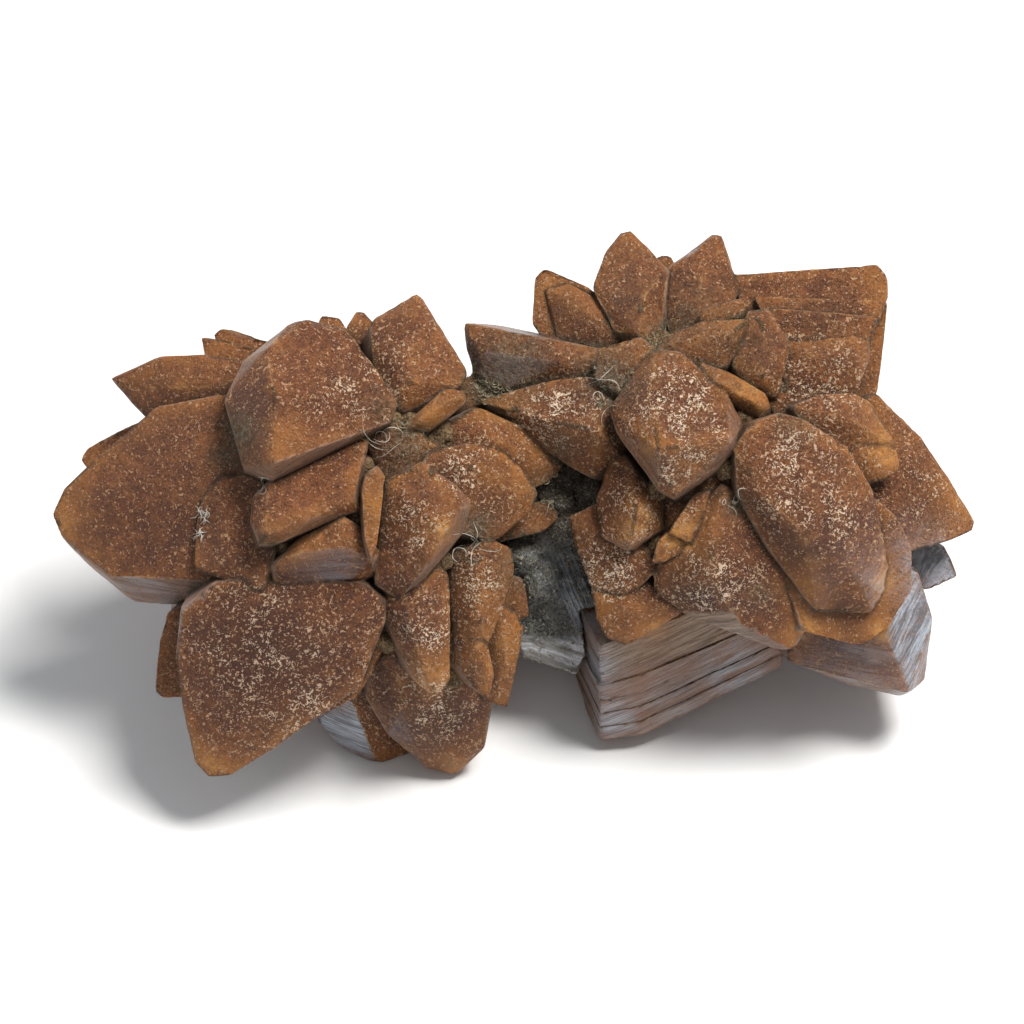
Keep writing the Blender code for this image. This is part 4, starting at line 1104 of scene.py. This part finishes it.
def dirt_finish():
    """The brown dirt of the hollows, with pale hairs in it."""
    dirt = Finish("packed_earth", {"IOR": 1.4})
    lumps = dirt.grain(1.2, 5.0, 0.7)
    grit = dirt.grain(4.2, 4.0, 0.72)
    hairs = dirt.threads(3.0, 1.4, 0.07, 0.03)
    colour = dirt.mix(lumps.between(0.38, 0.62), (88, 63, 40), (148, 120, 84))
    colour = dirt.mix(grit.between(0.47, 0.38) * 0.8, colour, (38, 27, 17))
    colour = dirt.mix(hairs * grit.between(0.45, 0.6) * 0.8, colour, (186, 176, 150))
    relief = grit * 0.2 + lumps * 0.3 + hairs * 0.06
    return dirt.done(colour, 0.75 + grit * 0.2, relief)


def crumb_finish():
    """Loose clay, a shade of its own for each few crumbs."""
    crumb = Finish("crumbled_clay", {"IOR": 1.4})
    _, number = crumb.cells(1.1)
    grit = crumb.grain(5.0, 3.0, 0.7)
    colour = crumb.mix(number, (98, 90, 70), (156, 148, 124))
    colour = crumb.mix(grit.between(0.5, 0.7) * 0.6, colour, (188, 180, 156))
    return crumb.done(colour, 0.75 + grit * 0.2, grit, depth=0.1)


def fibre_finish(name, dull, bright):
    """Fibres between a dull and a bright colour."""
    fibre = Finish(name, {"IOR": 1.45})
    dusty = fibre.grain(0.9, 3.0, 0.6)
    return fibre.done(fibre.mix(dusty, dull, bright), 0.5 + dusty * 0.2, dusty, depth=0.05)


def floor_finish():
    """Pale matt board."""
    board = Finish("pale_board", {"IOR": 1.4})
    fibre = board.grain(0.5, 4.0, 0.6)
    colour = board.mix(fibre, (246, 246, 246), (250, 250, 250))
    return board.done(colour, 0.8 + fibre * 0.1)


# ---- the stage


def stage_floor():
    """The board that the specimen stands on."""
    bpy.ops.object.select_all(action="DESELECT")
    bpy.ops.mesh.primitive_plane_add(size=FLOOR_WIDTH, location=(0.0, 0.0, -FLOOR_DROP))
    floor = bpy.context.object
    floor.name = "floor"
    bpy.ops.object.transform_apply(location=True)
    floor.data.materials.append(floor_finish())


def stage_camera():
    """The camera, square to the plate."""
    target = Vector(to_world(*VIEW_CENTRE, 0.0) * MM)
    data = bpy.data.cameras.new("view")
    camera = linked("view", data)
    camera.location = target + Vector(OUT) * VIEW_DISTANCE
    camera.rotation_euler = (math.pi / 2.0 - LEAN_BACK, 0.0, 0.0)
    data.sensor_width = SENSOR
    data.lens = SENSOR * VIEW_DISTANCE / VIEW_WIDTH
    data.clip_start = NEAREST_SEEN
    bpy.context.scene.camera = camera


def soft_light(name, place, size, watts, colour):
    """A square soft box that looks at the specimen."""
    data = bpy.data.lights.new(name, "AREA")
    data.size = size
    data.energy = watts
    data.color = colour
    light = linked(name, data)
    light.location = place
    light.rotation_euler = (-Vector(place)).to_track_quat("-Z", "Y").to_euler()


def stage_lights():
    """A pale surround, a soft box high on the right and a weak one on the left."""
    world = bpy.data.worlds.new("studio")
    bpy.context.scene.world = world
    world.use_nodes = True
    background = world.node_tree.nodes["Background"]
    background.inputs["Color"].default_value = (0.94, 0.97, 1.0, 1.0)
    background.inputs["Strength"].default_value = 0.26
    warm, cool = (1.0, 0.98, 0.95), (0.88, 0.94, 1.0)
    soft_light("key", place=(0.38, 0.17, 0.90), size=0.34, watts=12.3, colour=warm)
    soft_light("fill", place=(-0.7, 0.2, 0.5), size=0.6, watts=1.6, colour=cool)
    bpy.context.scene.view_settings.view_transform = "Standard"


rosettes, facets, dirt = crystal_rosettes()
rosettes.data.materials.append(calcite_finish())
packed_dirt().data.materials.append(dirt_finish())
clay = clay_body()
clay.data.materials.append(clay_finish())
clay_crumbs(rosettes, dirt, clay).data.materials.append(crumb_finish())
curl_finish = fibre_finish("dusty_fibre", (118, 106, 80), (190, 180, 152))
dust_curls(rosettes, dirt, clay).data.materials.append(curl_finish)
lint_finish = fibre_finish("pale_lint", (186, 178, 160), (240, 238, 228))
lint_tufts(facets).data.materials.append(lint_finish)
stage_floor()
stage_camera()
stage_lights()
